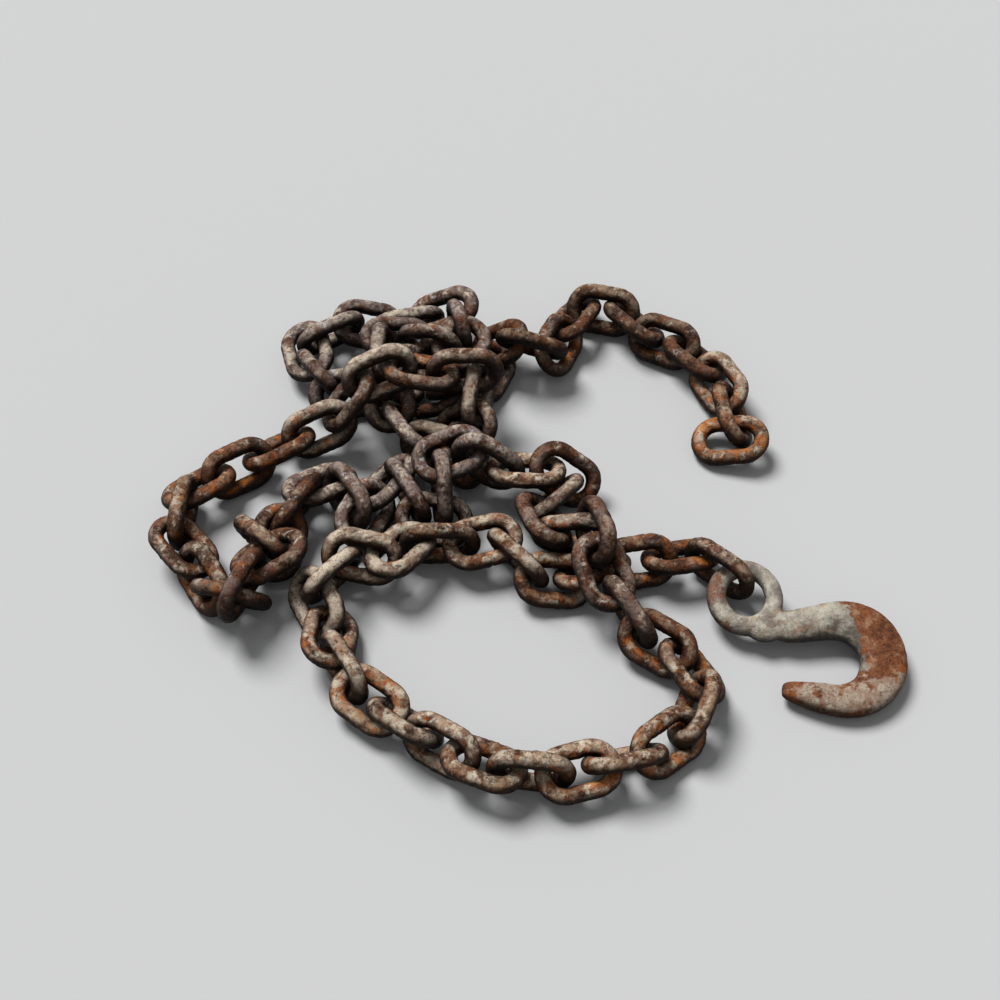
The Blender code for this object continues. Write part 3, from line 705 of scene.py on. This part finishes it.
def pits_and_crumbs(rust, colour):
    """Bare blotches, open pits, crumbs of dirt and a fine grain over all."""
    blotches = rust.grain(130, detail=6, rough=0.66, twist=0.5, shift=(8, 8, 1))
    colour = rust.over(colour, UMBER, rust.ramp(blotches, [(0.54, 0.0), (0.65, 0.78)]))
    specks = rust.grain(560, detail=3, rough=0.6)
    colour = rust.over(colour, SOOT_AND_SHADE, rust.ramp(specks, [(0.575, 0.0), (0.67, 0.75)]))
    crumbs = rust.grain(760, detail=3, rough=0.6, shift=(6, 0, 6))
    colour = rust.over(colour, TAN, rust.ramp(crumbs, [(0.58, 0.0), (0.68, 0.45)]))
    return rust.shaded(colour, rust.ramp(rust.grain(1700, detail=2), [(0.3, 0.86), (0.7, 1.13)]))


def rusted_bar(name, shade_low, shade_high):
    """The layered rust, shaded per link between two values."""
    rust = BarRust(name)
    colour = rust.outbreak(old_scale(rust), 42, (7, 3, 1), 0.6, 0.55)
    colour = rust.outbreak(chalk_frost_and_highlight(rust, colour), 105, (9, 4, 4), 0.4, 0.655)
    colour = pits_and_crumbs(rust, colour)
    # Painted contact shade: near another link's bar the colour is mixed toward near-black, for the shade
    # that the neighbour casts.
    painted_contact_shade = rust.ramp(rust.near, [(0.12, 0.0), (0.80, 0.94)], smooth=True)
    colour = rust.over(colour, SOOT_AND_SHADE, painted_contact_shade)
    # Painted shade: the colour is darkened on the sides and undersides, down to a small share where the
    # surface faces down.
    below = rust.ramp(rust.upward(), [(0.0, 0.06), (0.35, 0.22), (0.60, 0.62), (0.84, 1.0)])
    colour = rust.shaded(colour, below)
    colour = rust.shaded(colour, rust.ramp(rust.shade, [(0.0, shade_low), (1.0, shade_high)]))
    rust.feed(colour, rust.shader.inputs["Base Color"])
    gloss = rust.ramp(rust.grain(210, detail=4, shift=(3, 3, 3)), [(0.35, 0.50), (0.65, 0.80)])
    rust.feed(gloss, rust.shader.inputs["Roughness"])
    rust.shader.inputs["Specular IOR Level"].default_value = 0.14
    rust.bumps([(rust.grain(240, detail=6, rough=0.62, shift=(2, 2, 2)), 1.5 * MM),
                (rust.grain(900, detail=4, rough=0.62), 0.5 * MM)])
    return rust.material


finishes = {
    "near_links": rusted_bar("near_rust", 0.80, 1.06),
    "heap_links": rusted_bar("heap_rust", 0.76, 1.04),
    "tail_links": rusted_bar("tail_rust", 0.74, 0.96),
    "end_links": rusted_bar("end_rust", 0.90, 1.0),
}
print("finishes:", ", ".join(finishes))

# %% [markdown]
# ## The whole chain
#
# One recipe serves the whole chain. The four stretches of the record differ a little in
# how dark their scale is, and the amounts that the meshes carry do the rest.

# %% Put a bar in place of every link's solid
slots = {part["node"]: part["material_slot"] for part in frame["record"]["subparts"]}
bars = []
for node in link_nodes:
    piece = link_piece(node, finishes[slots[node]])
    bars.append(piece)
print("bars:", len(bars), "faces in all:", sum(len(piece.data.polygons) for piece in bars))

# %% [markdown]
# ## The hook
#
# A hook like this is drop forged: a hot blank is hammered between two dies. So it has
# soft edges, flattened cheeks, and a bend that is thickest where the load pulls. We draw
# it as a smith would describe it, by stations from the neck to the point: where the
# middle of the section is, and half its width and thickness there. Sizes are in
# millimetres from the eye's middle, with X along the shank and Y away from the point.

# %% Stations of the hook
EYE_RADII = (28.5, 31.5)        # the eye is a little oval
EYE_BAR = 9.0
EYE_BAR_MORE = 1.2              # the eye's bar is thicker toward this side of it,
EYE_BAR_MORE_AT = 235.0         # in degrees from +X
HOOK_TILT = 6.5                 # degrees: the first link lies under the eye and lifts it
KNOB = (17, -33.5, 15)          # the corner where the eye meets the shank, and its radius
KNOB_STRETCH = (1.25, 1, 0.66)
HOOK_STATIONS = [
    (20, -27, 12, 9), (38, -32, 16, 11), (62, -29, 17.5, 12.5), (83, -26, 19.5, 13),
    (100, -27, 21.5, 13), (115, -35, 23.5, 13), (126, -50, 23.5, 13), (129, -73, 23, 13),
    (121, -92, 21.5, 13), (110, -103, 19.5, 13), (96, -109, 17.5, 13), (81, -110, 15.5, 13),
    (65, -107, 14.5, 13), (52, -104, 12.4, 12), (40, -101, 10.4, 9.8), (32, -99.2, 8.2, 7.6),
    (28, -98.6, 5.6, 5.4),
]


def smooth_stations(times):
    """The stations with more between them, on a curve through all of them."""
    given = np.array(HOOK_STATIONS, float) * MM
    ends = np.concatenate([2 * given[:1] - given[1:2], given, 2 * given[-1:] - given[-2:-1]])
    rows = []
    for a, b, c, d in zip(ends[:-3], ends[1:-2], ends[2:-1], ends[3:]):
        for t in np.arange(times) / times:
            rows.append(0.5 * (2 * b + (c - a) * t + (2 * a - 5 * b + 4 * c - d) * t ** 2
                               + (3 * b - a - 3 * c + d) * t ** 3))
    return np.array(rows + [given[-1]])


stations = smooth_stations(3)
print("stations:", len(stations), "from the neck to the point")

# %% [markdown]
# ## The hook's body
#
# The section of each station is a circle, squared a little for the flat cheeks. It is
# moved on from the last station by extrusion and squeezed to its own size. So the body
# is one row of faces after another, as if it were drawn out under the hammer.

# %% Draw the body
SECTION_SIDES = 36
SQUARE_WIDE = 0.86              # below 1, a circle's sides fill out toward a square's
SQUARE_THICK = 0.8
CHEEK = 0.97                    # where the cheek is cut flat


def section_at(row, along):
    """The matrix that sets a flat unit circle as the section of a station."""
    x, y, wide, thick = row
    across = Vector((along[1], -along[0], 0))
    turn = Matrix((across, (0, 0, 1), (*along, 0))).transposed().to_4x4()
    return Matrix.Translation((x, y, 0)) @ turn @ Matrix.Diagonal((wide, thick, 1, 1))


def square_up(place):
    """Move a place on a unit circle a little toward a square, for flattened cheeks."""
    place.x = math.copysign(abs(place.x) ** SQUARE_WIDE, place.x)
    place.y = math.copysign(min(abs(place.y) ** SQUARE_THICK, CHEEK), place.y)


def draw_body(shape):
    """Add the body as a closed shell, in the hook's own plane."""
    along = np.gradient(stations[:, :2], axis=0)
    along /= np.linalg.norm(along, axis=1)[:, None]
    first = bmesh.ops.create_circle(shape, cap_ends=True, segments=SECTION_SIDES, radius=1)["verts"]
    for vertex in first:
        square_up(vertex.co)
    last = section_at(stations[0], along[0])
    bmesh.ops.transform(shape, matrix=last, verts=first)
    front = list(shape.edges)
    for row, direction in zip(stations[1:], along[1:]):
        here = section_at(row, direction)
        drawn = bmesh.ops.extrude_edge_only(shape, edges=front)["geom"]
        verts = [part for part in drawn if isinstance(part, bmesh.types.BMVert)]
        bmesh.ops.transform(shape, matrix=here @ last.inverted(), verts=verts)
        front = [part for part in drawn if isinstance(part, bmesh.types.BMEdge)
                 and all(v in verts for v in part.verts)]
        last = here
    bmesh.ops.edgeloop_fill(shape, edges=front)


blank = bmesh.new()
draw_body(blank)
print("body:", len(blank.faces), "faces")

# %% [markdown]
# ## The eye
#
# The eye is a ring of bar, spun round once. It is then stretched to its slightly oval
# form, and its bar is made a little thicker on one side, because no forging is even. A
# flattened ball stands for the corner that the die leaves between the eye and the shank.

# %% Bend the eye
EYE_SIDES = 32
EYE_STEPS = 64


def bend_eye(shape):
    """Add the eye and the corner at its foot as closed shells."""
    body = set(shape.verts)
    stand = Matrix.Translation((EYE_RADII[0] * MM, 0, 0)) @ Matrix.Rotation(math.radians(90), 4, "X")
    bmesh.ops.create_circle(shape, segments=EYE_SIDES, radius=EYE_BAR * MM, matrix=stand)
    ring = [edge for edge in shape.edges if edge.verts[0] not in body]
    bmesh.ops.spin(shape, geom=ring, cent=(0, 0, 0), axis=(0, 0, 1), dvec=(0, 0, 0), angle=2 * math.pi,
                   steps=EYE_STEPS, use_merge=True, use_duplicate=False)
    for vertex in [v for v in shape.verts if v not in body]:
        around = math.atan2(vertex.co.y, vertex.co.x)
        old = Vector((math.cos(around), math.sin(around), 0)) * EYE_RADII[0] * MM
        new = Vector((EYE_RADII[0] * math.cos(around), EYE_RADII[1] * math.sin(around), 0)) * MM
        swell = 0.5 + 0.5 * math.cos(around - math.radians(EYE_BAR_MORE_AT))
        vertex.co = new + (vertex.co - old) * (1 + EYE_BAR_MORE / EYE_BAR * swell)
    knob = Matrix.Translation((KNOB[0] * MM, KNOB[1] * MM, 0)) @ Matrix.Diagonal((*KNOB_STRETCH, 1))
    bmesh.ops.create_icosphere(shape, subdivisions=4, radius=KNOB[2] * MM, matrix=knob)
    bmesh.ops.recalc_face_normals(shape, faces=shape.faces)


bend_eye(blank)
blank_mesh = bpy.data.meshes.new("forged_blank")
blank.to_mesh(blank_mesh)
blank.free()
print("body, eye and corner:", len(blank_mesh.polygons), "faces")

# %% [markdown]
# ## One forging
#
# The body and the eye are still shells that run through each other. A voxel remesh wraps
# them in one skin of small even squares, and a few rounds of smoothing then melt the
# joint between them into the soft fillet that a die leaves.

# %% Melt the eye and the body together
VOXEL = 1.1 * MM
SMOOTH_ROUNDS = 22


def melted(mesh):
    """The mesh with its shells fused to one skin and its joints softened."""
    holder = bpy.data.objects.new("melting", mesh)
    bpy.context.scene.collection.objects.link(holder)
    fuse = holder.modifiers.new("fuse", "REMESH")
    fuse.mode = "VOXEL"
    fuse.voxel_size = VOXEL
    soften = holder.modifiers.new("soften", "SMOOTH")
    soften.factor = 0.5
    soften.iterations = SMOOTH_ROUNDS
    ready = holder.evaluated_get(bpy.context.evaluated_depsgraph_get())
    made = bpy.data.meshes.new_from_object(ready)
    bpy.data.objects.remove(holder)
    return made


hook_mesh = melted(blank_mesh)
print("forging:", len(hook_mesh.polygons), "faces")

# %% [markdown]
# ## The hook's place
#
# The forging is still at the world's origin. It is tilted as it lies, and we work out how
# far its middle is from the middle of its solid's box. Its points are moved that far when
# the skin is made, below, because the object itself has to stay at the origin.

# %% Lay the hook in its place
HOOK_LIFT = 0.2 * MM
tilt = Matrix.Rotation(math.radians(HOOK_TILT), 4, "X")
hook_mesh.transform(tilt)
local = np.array([v.co for v in hook_mesh.vertices])
low, high = (np.array(corner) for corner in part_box("eye_hook"))
centre = (low + high) / 2 - (local.min(axis=0) + local.max(axis=0)) / 2
laid = Vector((centre[0], centre[1], -local[:, 2].min() + HOOK_LIFT))
print("eye's middle:", [round(v, 4) for v in laid])

# %% [markdown]
# ## Where the paint is left
#
# The hook was once painted a pale cream. The eye and the shank have kept most of it,
# dirty and chipped, while the bend has lost it all and shows bare orange-brown rust. The
# lower arm is rust under a pale dust, with a bare rim round it. So each point of the
# hook carries amounts of paint, fresh rust, dust, old rust and dirt. Each is a small
# function of the place in the hook's plane, in millimetres from the eye's middle.

# %% Paint and rust amounts on the hook
PAINT_END = 99                  # how far along the shank the paint goes, at PAINT_END_Y
PAINT_END_Y = -27
ARM_TOP = -82                   # the lower arm lies below this
NECK = (36, -16)                # rubbed bare, in the corner between eye and shank
EYE_END = 22                    # how far along the shank the eye's old rust goes
BEND_MIDDLE = (104, -60)
THROAT_MIDDLE = (84, -66)
STAIN_MIDDLE = (72, -108)       # where the lower arm's dust is thin


def step(value, middle, width):
    """0 well below the middle, 1 well above it, and soft between."""
    return 1 / (1 + math.exp((middle - value) / width))


def paint_left(x, y, point):
    """How much paint is left: all of it up to a ragged end, less on the eye and the neck."""
    ragged = 6 * noise.noise(point * 60) + 5 * noise.noise(point * 170)
    kept = step(PAINT_END - 0.30 * (y - PAINT_END_Y) - x + ragged, 0, 3.2)
    rubbed = step(-x, 12, 5) * (0.62 + 0.7 * noise.noise(point * 50 + Vector((1, 1, 1))))
    neck = math.exp(-((x - NECK[0]) ** 2 + (y - NECK[1]) ** 2) / 40)
    return kept * step(y, ARM_TOP, 2) * max(0.0, 1 - rubbed - 0.7 * neck)


def old_rust(x, y, point):
    """How old and grey the rust is: only round the eye."""
    return step(-x, -EYE_END, 5)


def arm_foot(x):
    """How far below the eye's middle the lower arm's outer edge begins."""
    return 123.5 - 0.36 * max(0, 75 - x)


def fresh_rust(x, y, point):
    """How orange the rust is: most on the bend's outside, in the throat and at the point."""
    outside = step(math.hypot(x - BEND_MIDDLE[0], y - BEND_MIDDLE[1]), 40, 4) * step(x, 100, 4)
    throat = step(-math.hypot(x - THROAT_MIDDLE[0], y - THROAT_MIDDLE[1]), -24, 2)
    tip = step(-x, -44, 4) * step(-y, 80, 2)
    edge = step(-y, arm_foot(x), 2) * step(x, 44, 4)
    bright = 0.55 * outside + 0.5 * throat + 0.5 * tip + 0.4 * edge
    return min(1.0, 0.15 + bright - 0.45 * old_rust(x, y, point) + 0.35 * noise.noise(point * 35))


def dust_left(x, y, point):
    """How much pale dust lies over the rust: much on the lower arm, none on the bend."""
    bare_throat = min(98, 84 + 0.35 * (148 - x))
    arm = step(-y, bare_throat, 3) * step(x, 39, 3) * step(y, -arm_foot(x), 2)
    stain = math.exp(-(((x - STAIN_MIDDLE[0]) / 14) ** 2 + ((y - STAIN_MIDDLE[1]) / 7) ** 2))
    patchy = 1.1 * noise.noise(point * 60 + Vector((8, 0, 8))) + 0.6 * noise.noise(point * 130)
    return max(0.0, min(1.0, arm * (1.15 - 0.5 * stain + patchy)))


def dirt_left(x, y, point):
    """How much black dirt is smeared on the paint: most along the shank's lower side."""
    return step(x, 36, 5) * step(-y, 29, 3) * step(y, -80, 3) + 0.35 * step(-x, 0, 8)


outside_bend = (BEND_MIDDLE[0] + 46, BEND_MIDDLE[1], Vector((0, 0, 0)))
print("paint outside the bend:", round(paint_left(*outside_bend), 2), "fresh rust:",
      round(fresh_rust(*outside_bend), 2))

# %% [markdown]
# ## The hook's skin
#
# The hook is roughened like the links, but less, because a forging is smoother than
# bent bar, and least where paint still fills the pits. Where the first link hangs in the
# eye, the eye's bar is worn back to clear it.

# %% Roughen the hook and give it its amounts
PAINT = "paint"
HOOK_ROUGHNESS = 0.6
HOOK_PITS = 0.5
PAINTED_TO = 60                 # the paint smooths the hook up to here
PAINTED_SHARE = 0.75
EYE_SEAT_GAP = 0.2 * MM
AMOUNTS = (paint_left, fresh_rust, dust_left, old_rust, dirt_left)

hook_points = []
amounts = []
back = (Matrix.Translation(laid) @ tilt).inverted()
for vertex in hook_mesh.vertices:
    point = vertex.co + laid
    own = (back @ point) / MM
    depth = HOOK_ROUGHNESS * roughness_at(point, HOOK_PITS)
    hook_points.append(point + vertex.normal * depth * (PAINTED_SHARE if own.x < PAINTED_TO else 1.0))
    amounts.append([amount(own.x, own.y, point) for amount in AMOUNTS])
hook_points = np.array(hook_points)
far, away = to_bar(hook_points, places[1])
hook_points += away * np.maximum(BAR + EYE_SEAT_GAP - far, 0)[:, None]
hook_points[:, 2] = np.maximum(hook_points[:, 2], GROUND)
move_points(hook_mesh, hook_points)
paint, fresh, dust, old, dirt = np.array(amounts).T
paint_points(hook_mesh, PAINT, [paint, fresh, dust])
paint_points(hook_mesh, WEAR_AND_SHADE, [np.exp(-np.maximum(far - BAR, 0) / NEAR_FADE), old, dirt])
hook_mesh.polygons.foreach_set("use_smooth", [True] * len(hook_mesh.polygons))
print("paint left on", round(100 * float((paint > 0.5).mean())), "% of the hook")

# %% [markdown]
# ## The hook's finish
#
# Under the paint is the same rust as on the chain, but brighter, because the hook is a
# different steel. The paint's own edge is broken up by a finer noise, since it comes off
# in chips. Dark grey smears on the paint are dirt that has collected in its scratches.

# %% Layers of the hook
CREAM = linear(184, 178, 164)
CREAM_DARK = linear(142, 134, 127)
CREAM_LIGHT = linear(208, 204, 190)
STAIN = linear(136, 112, 96)
GRIME = linear(66, 58, 53)
HOOK_RUST = linear(122, 73, 46)
HOOK_RUST_DARK = linear(82, 46, 30)
HOOK_RUST_PALE = linear(162, 124, 96)
HOOK_DUST = linear(190, 178, 163)
HOOK_DUST_BROWN = linear(158, 134, 116)
EYE_RUST = linear(132, 106, 92)


def speckled_rust(coat, fresh, dust, old):
    """Brown rust with orange in it, dust on it, and pale and dark specks."""
    rust = coat.ramp(coat.grain(78, detail=6, rough=0.7, twist=0.3),
                     [(0.36, HOOK_RUST_DARK), (0.50, HOOK_RUST), (0.66, HOOK_RUST_PALE)], smooth=True)
    hot = coat.add(coat.grain(80, detail=6, rough=0.7, shift=(6, 0, 0)), coat.times(fresh, 0.26))
    rust = coat.over(rust, ORANGE, coat.ramp(hot, [(0.64, 0.0), (0.80, 0.7)]))
    aged = coat.times(old, coat.ramp(coat.grain(60, shift=(3, 0, 3)), [(0.35, 0.25), (0.6, 0.9)]))
    rust = coat.over(rust, EYE_RUST, aged)
    dusty = coat.add(coat.grain(85, detail=6, rough=0.68, shift=(2, 7, 0)), coat.times(dust, 0.34))
    tones = coat.ramp(coat.grain(120, detail=5, rough=0.65, shift=(4, 4, 6)),
                      [(0.42, HOOK_DUST_BROWN), (0.58, HOOK_DUST)])
    rust = coat.over(rust, tones, coat.ramp(dusty, [(0.62, 0.0), (0.74, 0.92)]))
    pale_specks = coat.ramp(coat.grain(480, detail=4, rough=0.65), [(0.54, 0.0), (0.67, 0.55)])
    rust = coat.over(rust, HOOK_RUST_PALE, pale_specks)
    dark_specks = coat.grain(420, detail=4, rough=0.65, shift=(5, 5, 0))
    return coat.over(rust, HOOK_RUST_DARK, coat.ramp(dark_specks, [(0.56, 0.0), (0.66, 0.75)]))


def dirty_paint(coat, dirt):
    """Cream paint with pale and stained patches, smears of dirt and rust that seeps through."""
    paint = coat.ramp(coat.grain(40, detail=5, rough=0.6, shift=(0, 2, 2)),
                      [(0.40, CREAM_DARK), (0.56, CREAM)], smooth=True)
    light = coat.grain(50, detail=5, rough=0.6, shift=(9, 1, 3))
    paint = coat.over(paint, CREAM_LIGHT, coat.ramp(light, [(0.50, 0.0), (0.64, 0.85)]))
    stain = coat.grain(55, detail=6, rough=0.68, shift=(5, 2, 2))
    paint = coat.over(paint, STAIN, coat.ramp(stain, [(0.50, 0.0), (0.66, 0.7)]))
    smear = coat.add(coat.grain(68, detail=6, rough=0.72, shift=(3, 9, 0)), coat.times(dirt, 0.15))
    paint = coat.over(paint, GRIME, coat.ramp(smear, [(0.50, 0.0), (0.72, 0.80)]))
    seep = coat.grain(82, detail=6, rough=0.7, shift=(0, 5, 9))
    paint = coat.over(paint, HOOK_RUST_PALE, coat.ramp(seep, [(0.56, 0.0), (0.68, 0.65)]))
    return coat.over(paint, GRIME, coat.ramp(coat.grain(620, detail=3), [(0.58, 0.0), (0.70, 0.6)]))


print("the hook's finish reads the mesh colours", PAINT, "and", WEAR_AND_SHADE)

# %% [markdown]
# ## Paint over rust
#
# The paint lies over the rust wherever it is kept, and its edge has a small height of
# its own, so that the light catches it. The paint is also a little glossier than rust.
# The colour is then painted darker toward the underside, as painted shade, and nearly
# black where the first link lies in the eye, as painted contact shade.

# %% Put the layers together, and the hook in place of its solid
def worn_paint(name):
    """Cream paint in chips over a speckled rust with dust on it."""
    coat = Finish(name)
    kept, fresh, dust = coat.channels(PAINT)
    near, old, dirt = coat.channels(WEAR_AND_SHADE)
    ragged = coat.centred(coat.grain(150, detail=6, rough=0.72))
    edge = coat.ramp(coat.add(kept, coat.times(ragged, 1.6)), [(0.36, 0.0), (0.60, 1.0)])
    colour = coat.over(speckled_rust(coat, fresh, dust, old), dirty_paint(coat, dirt), edge)
    colour = coat.shaded(colour, coat.ramp(coat.grain(1700, detail=2), [(0.3, 0.86), (0.7, 1.13)]))
    # Painted shade: the hook's colour is darkened where its surface faces down or sideways.
    colour = coat.shaded(colour, coat.ramp(coat.upward(), [(0.0, 0.18), (0.30, 0.52), (0.7, 1.0)]))
    # Painted contact shade: near the first link's bar the colour is mixed toward near-black.
    colour = coat.over(colour, SOOT_AND_SHADE, coat.ramp(near, [(0.2, 0.0), (1.0, 0.9)], smooth=True))
    coat.feed(colour, coat.shader.inputs["Base Color"])
    coat.feed(coat.ramp(edge, [(0.0, 0.78), (1.0, 0.55)]), coat.shader.inputs["Roughness"])
    coat.shader.inputs["Specular IOR Level"].default_value = 0.18
    coat.bumps([(coat.grain(260, detail=6, rough=0.62), 1.1 * MM),
                (coat.grain(800, detail=4, rough=0.62), 0.6 * MM), (edge, 0.2 * MM)])
    return coat.material


hook_mesh.materials.clear()
hook_mesh.materials.append(worn_paint("hook_paint_and_rust"))
hook = bpy.data.objects.new("forged_hook", hook_mesh)
bpy.context.scene.collection.objects.link(hook)
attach(hook, "root")
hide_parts("eye_hook")
print("hook:", len(hook_mesh.polygons), "faces")

# %% [markdown]
# ## Floor
#
# The chain lies on a plain pale floor. The camera sees its pale colour, straight or in a
# gloss or through glass. The light that bounces off it meets a darker colour, because a
# yard throws back less light than a studio floor, and the undersides of the links would
# lose their depth. Light Path tells the two apart.

# %% A floor that is pale only to the eye
PALE_FLOOR = linear(202, 204, 207)
DIM_FLOOR = linear(132, 134, 138)
FLOOR_RADIUS = 30


def seen_directly(tree):
    """1 for what the camera sees, straight or in a gloss or through glass, and 0 for other light."""
    path = tree.nodes.new("ShaderNodeLightPath")
    total = path.outputs["Is Camera Ray"]
    for kind in ("Is Glossy Ray", "Is Transmission Ray"):
        both = tree.nodes.new("ShaderNodeMath")
        both.operation = "MAXIMUM"
        tree.links.new(total, both.inputs[0])
        tree.links.new(path.outputs[kind], both.inputs[1])
        total = both.outputs["Value"]
    return total


def floor_finish():
    """Pale and matt to the camera, and darker to the light that it throws back up."""
    ground = Finish("floor")
    shown = ground.over(DIM_FLOOR, PALE_FLOOR, seen_directly(ground.tree))
    ground.feed(shown, ground.shader.inputs["Base Color"])
    ground.shader.inputs["Roughness"].default_value = 0.9
    return ground.material


shape = bmesh.new()
bmesh.ops.create_circle(shape, cap_ends=True, segments=64, radius=FLOOR_RADIUS)
floor_mesh = bpy.data.meshes.new("floor")
shape.to_mesh(floor_mesh)
shape.free()
floor_mesh.materials.append(floor_finish())
floor = bpy.data.objects.new("floor", floor_mesh)
bpy.context.scene.collection.objects.link(floor)
print("floor:", [round(v, 1) for v in floor.dimensions[:2]])

# %% [markdown]
# ## Light
#
# The light is that of a bright, hazy day. A sun lamp stands high behind the chain and to
# its left. Its disc is made very wide, so that its shadows are soft and fall toward us.
# An even, weaker sky fills them. The backdrop has a pale grey of its own, which the
# camera, a gloss and a glass see, and which doesn't brighten the matt surfaces.

# %% Sky and sun
BACKDROP = linear(212, 213, 212)
SKY_COLOUR = (1.0, 0.99, 0.97, 1)
SKY_STRENGTH = 0.24
SUN_COLOUR = (1.0, 0.98, 0.95)
SUN_STRENGTH = 3.2
SUN_WIDTH = 26                  # degrees
SUN_DIRECTION = Vector((0.36, -0.44, -0.82))

world = bpy.data.worlds.new("sky")
world.use_nodes = True
sky = world.node_tree
plain_sky = sky.nodes["Background"]
plain_sky.inputs["Color"].default_value = SKY_COLOUR
plain_sky.inputs["Strength"].default_value = SKY_STRENGTH
seen_sky = sky.nodes.new("ShaderNodeBackground")
seen_sky.inputs["Color"].default_value = BACKDROP
seen_sky.inputs["Strength"].default_value = 1.0
either = sky.nodes.new("ShaderNodeMixShader")
sky.links.new(seen_directly(sky), either.inputs[0])
sky.links.new(plain_sky.outputs["Background"], either.inputs[1])
sky.links.new(seen_sky.outputs["Background"], either.inputs[2])
sky.links.new(either.outputs["Shader"], sky.nodes["World Output"].inputs["Surface"])
bpy.context.scene.world = world

lamp = bpy.data.lights.new("soft_sun", "SUN")
lamp.angle = math.radians(SUN_WIDTH)
lamp.energy = SUN_STRENGTH
lamp.color = SUN_COLOUR
lamp_holder = bpy.data.objects.new("soft_sun", lamp)
lamp_holder.rotation_euler = SUN_DIRECTION.to_track_quat("-Z", "Y").to_euler()
bpy.context.scene.collection.objects.link(lamp_holder)

# %% [markdown]
# ## Camera
#
# The camera looks down steeply, as someone who stands over the chain does, from about a
# metre and a half up. A fairly long lens keeps the near links from looking too large.

# %% Camera
CAMERA_AT = (-0.019, -0.951, 1.374)
CAMERA_DOWN = 54.12             # degrees below level
LENS = 57.89                    # millimetres

lens = bpy.data.cameras.new("camera")
lens.sensor_width = 36
lens.lens = LENS
camera = bpy.data.objects.new("camera", lens)
camera.location = CAMERA_AT
camera.rotation_euler = (math.radians(90 - CAMERA_DOWN), 0, 0)
bpy.context.scene.collection.objects.link(camera)
bpy.context.scene.camera = camera
bpy.context.scene.view_settings.view_transform = "Standard"
print("camera at", [round(v, 3) for v in camera.location])

# %% [markdown]
# ## Sizes
#
# The pieces fill about the same box as the solids that they stand for.
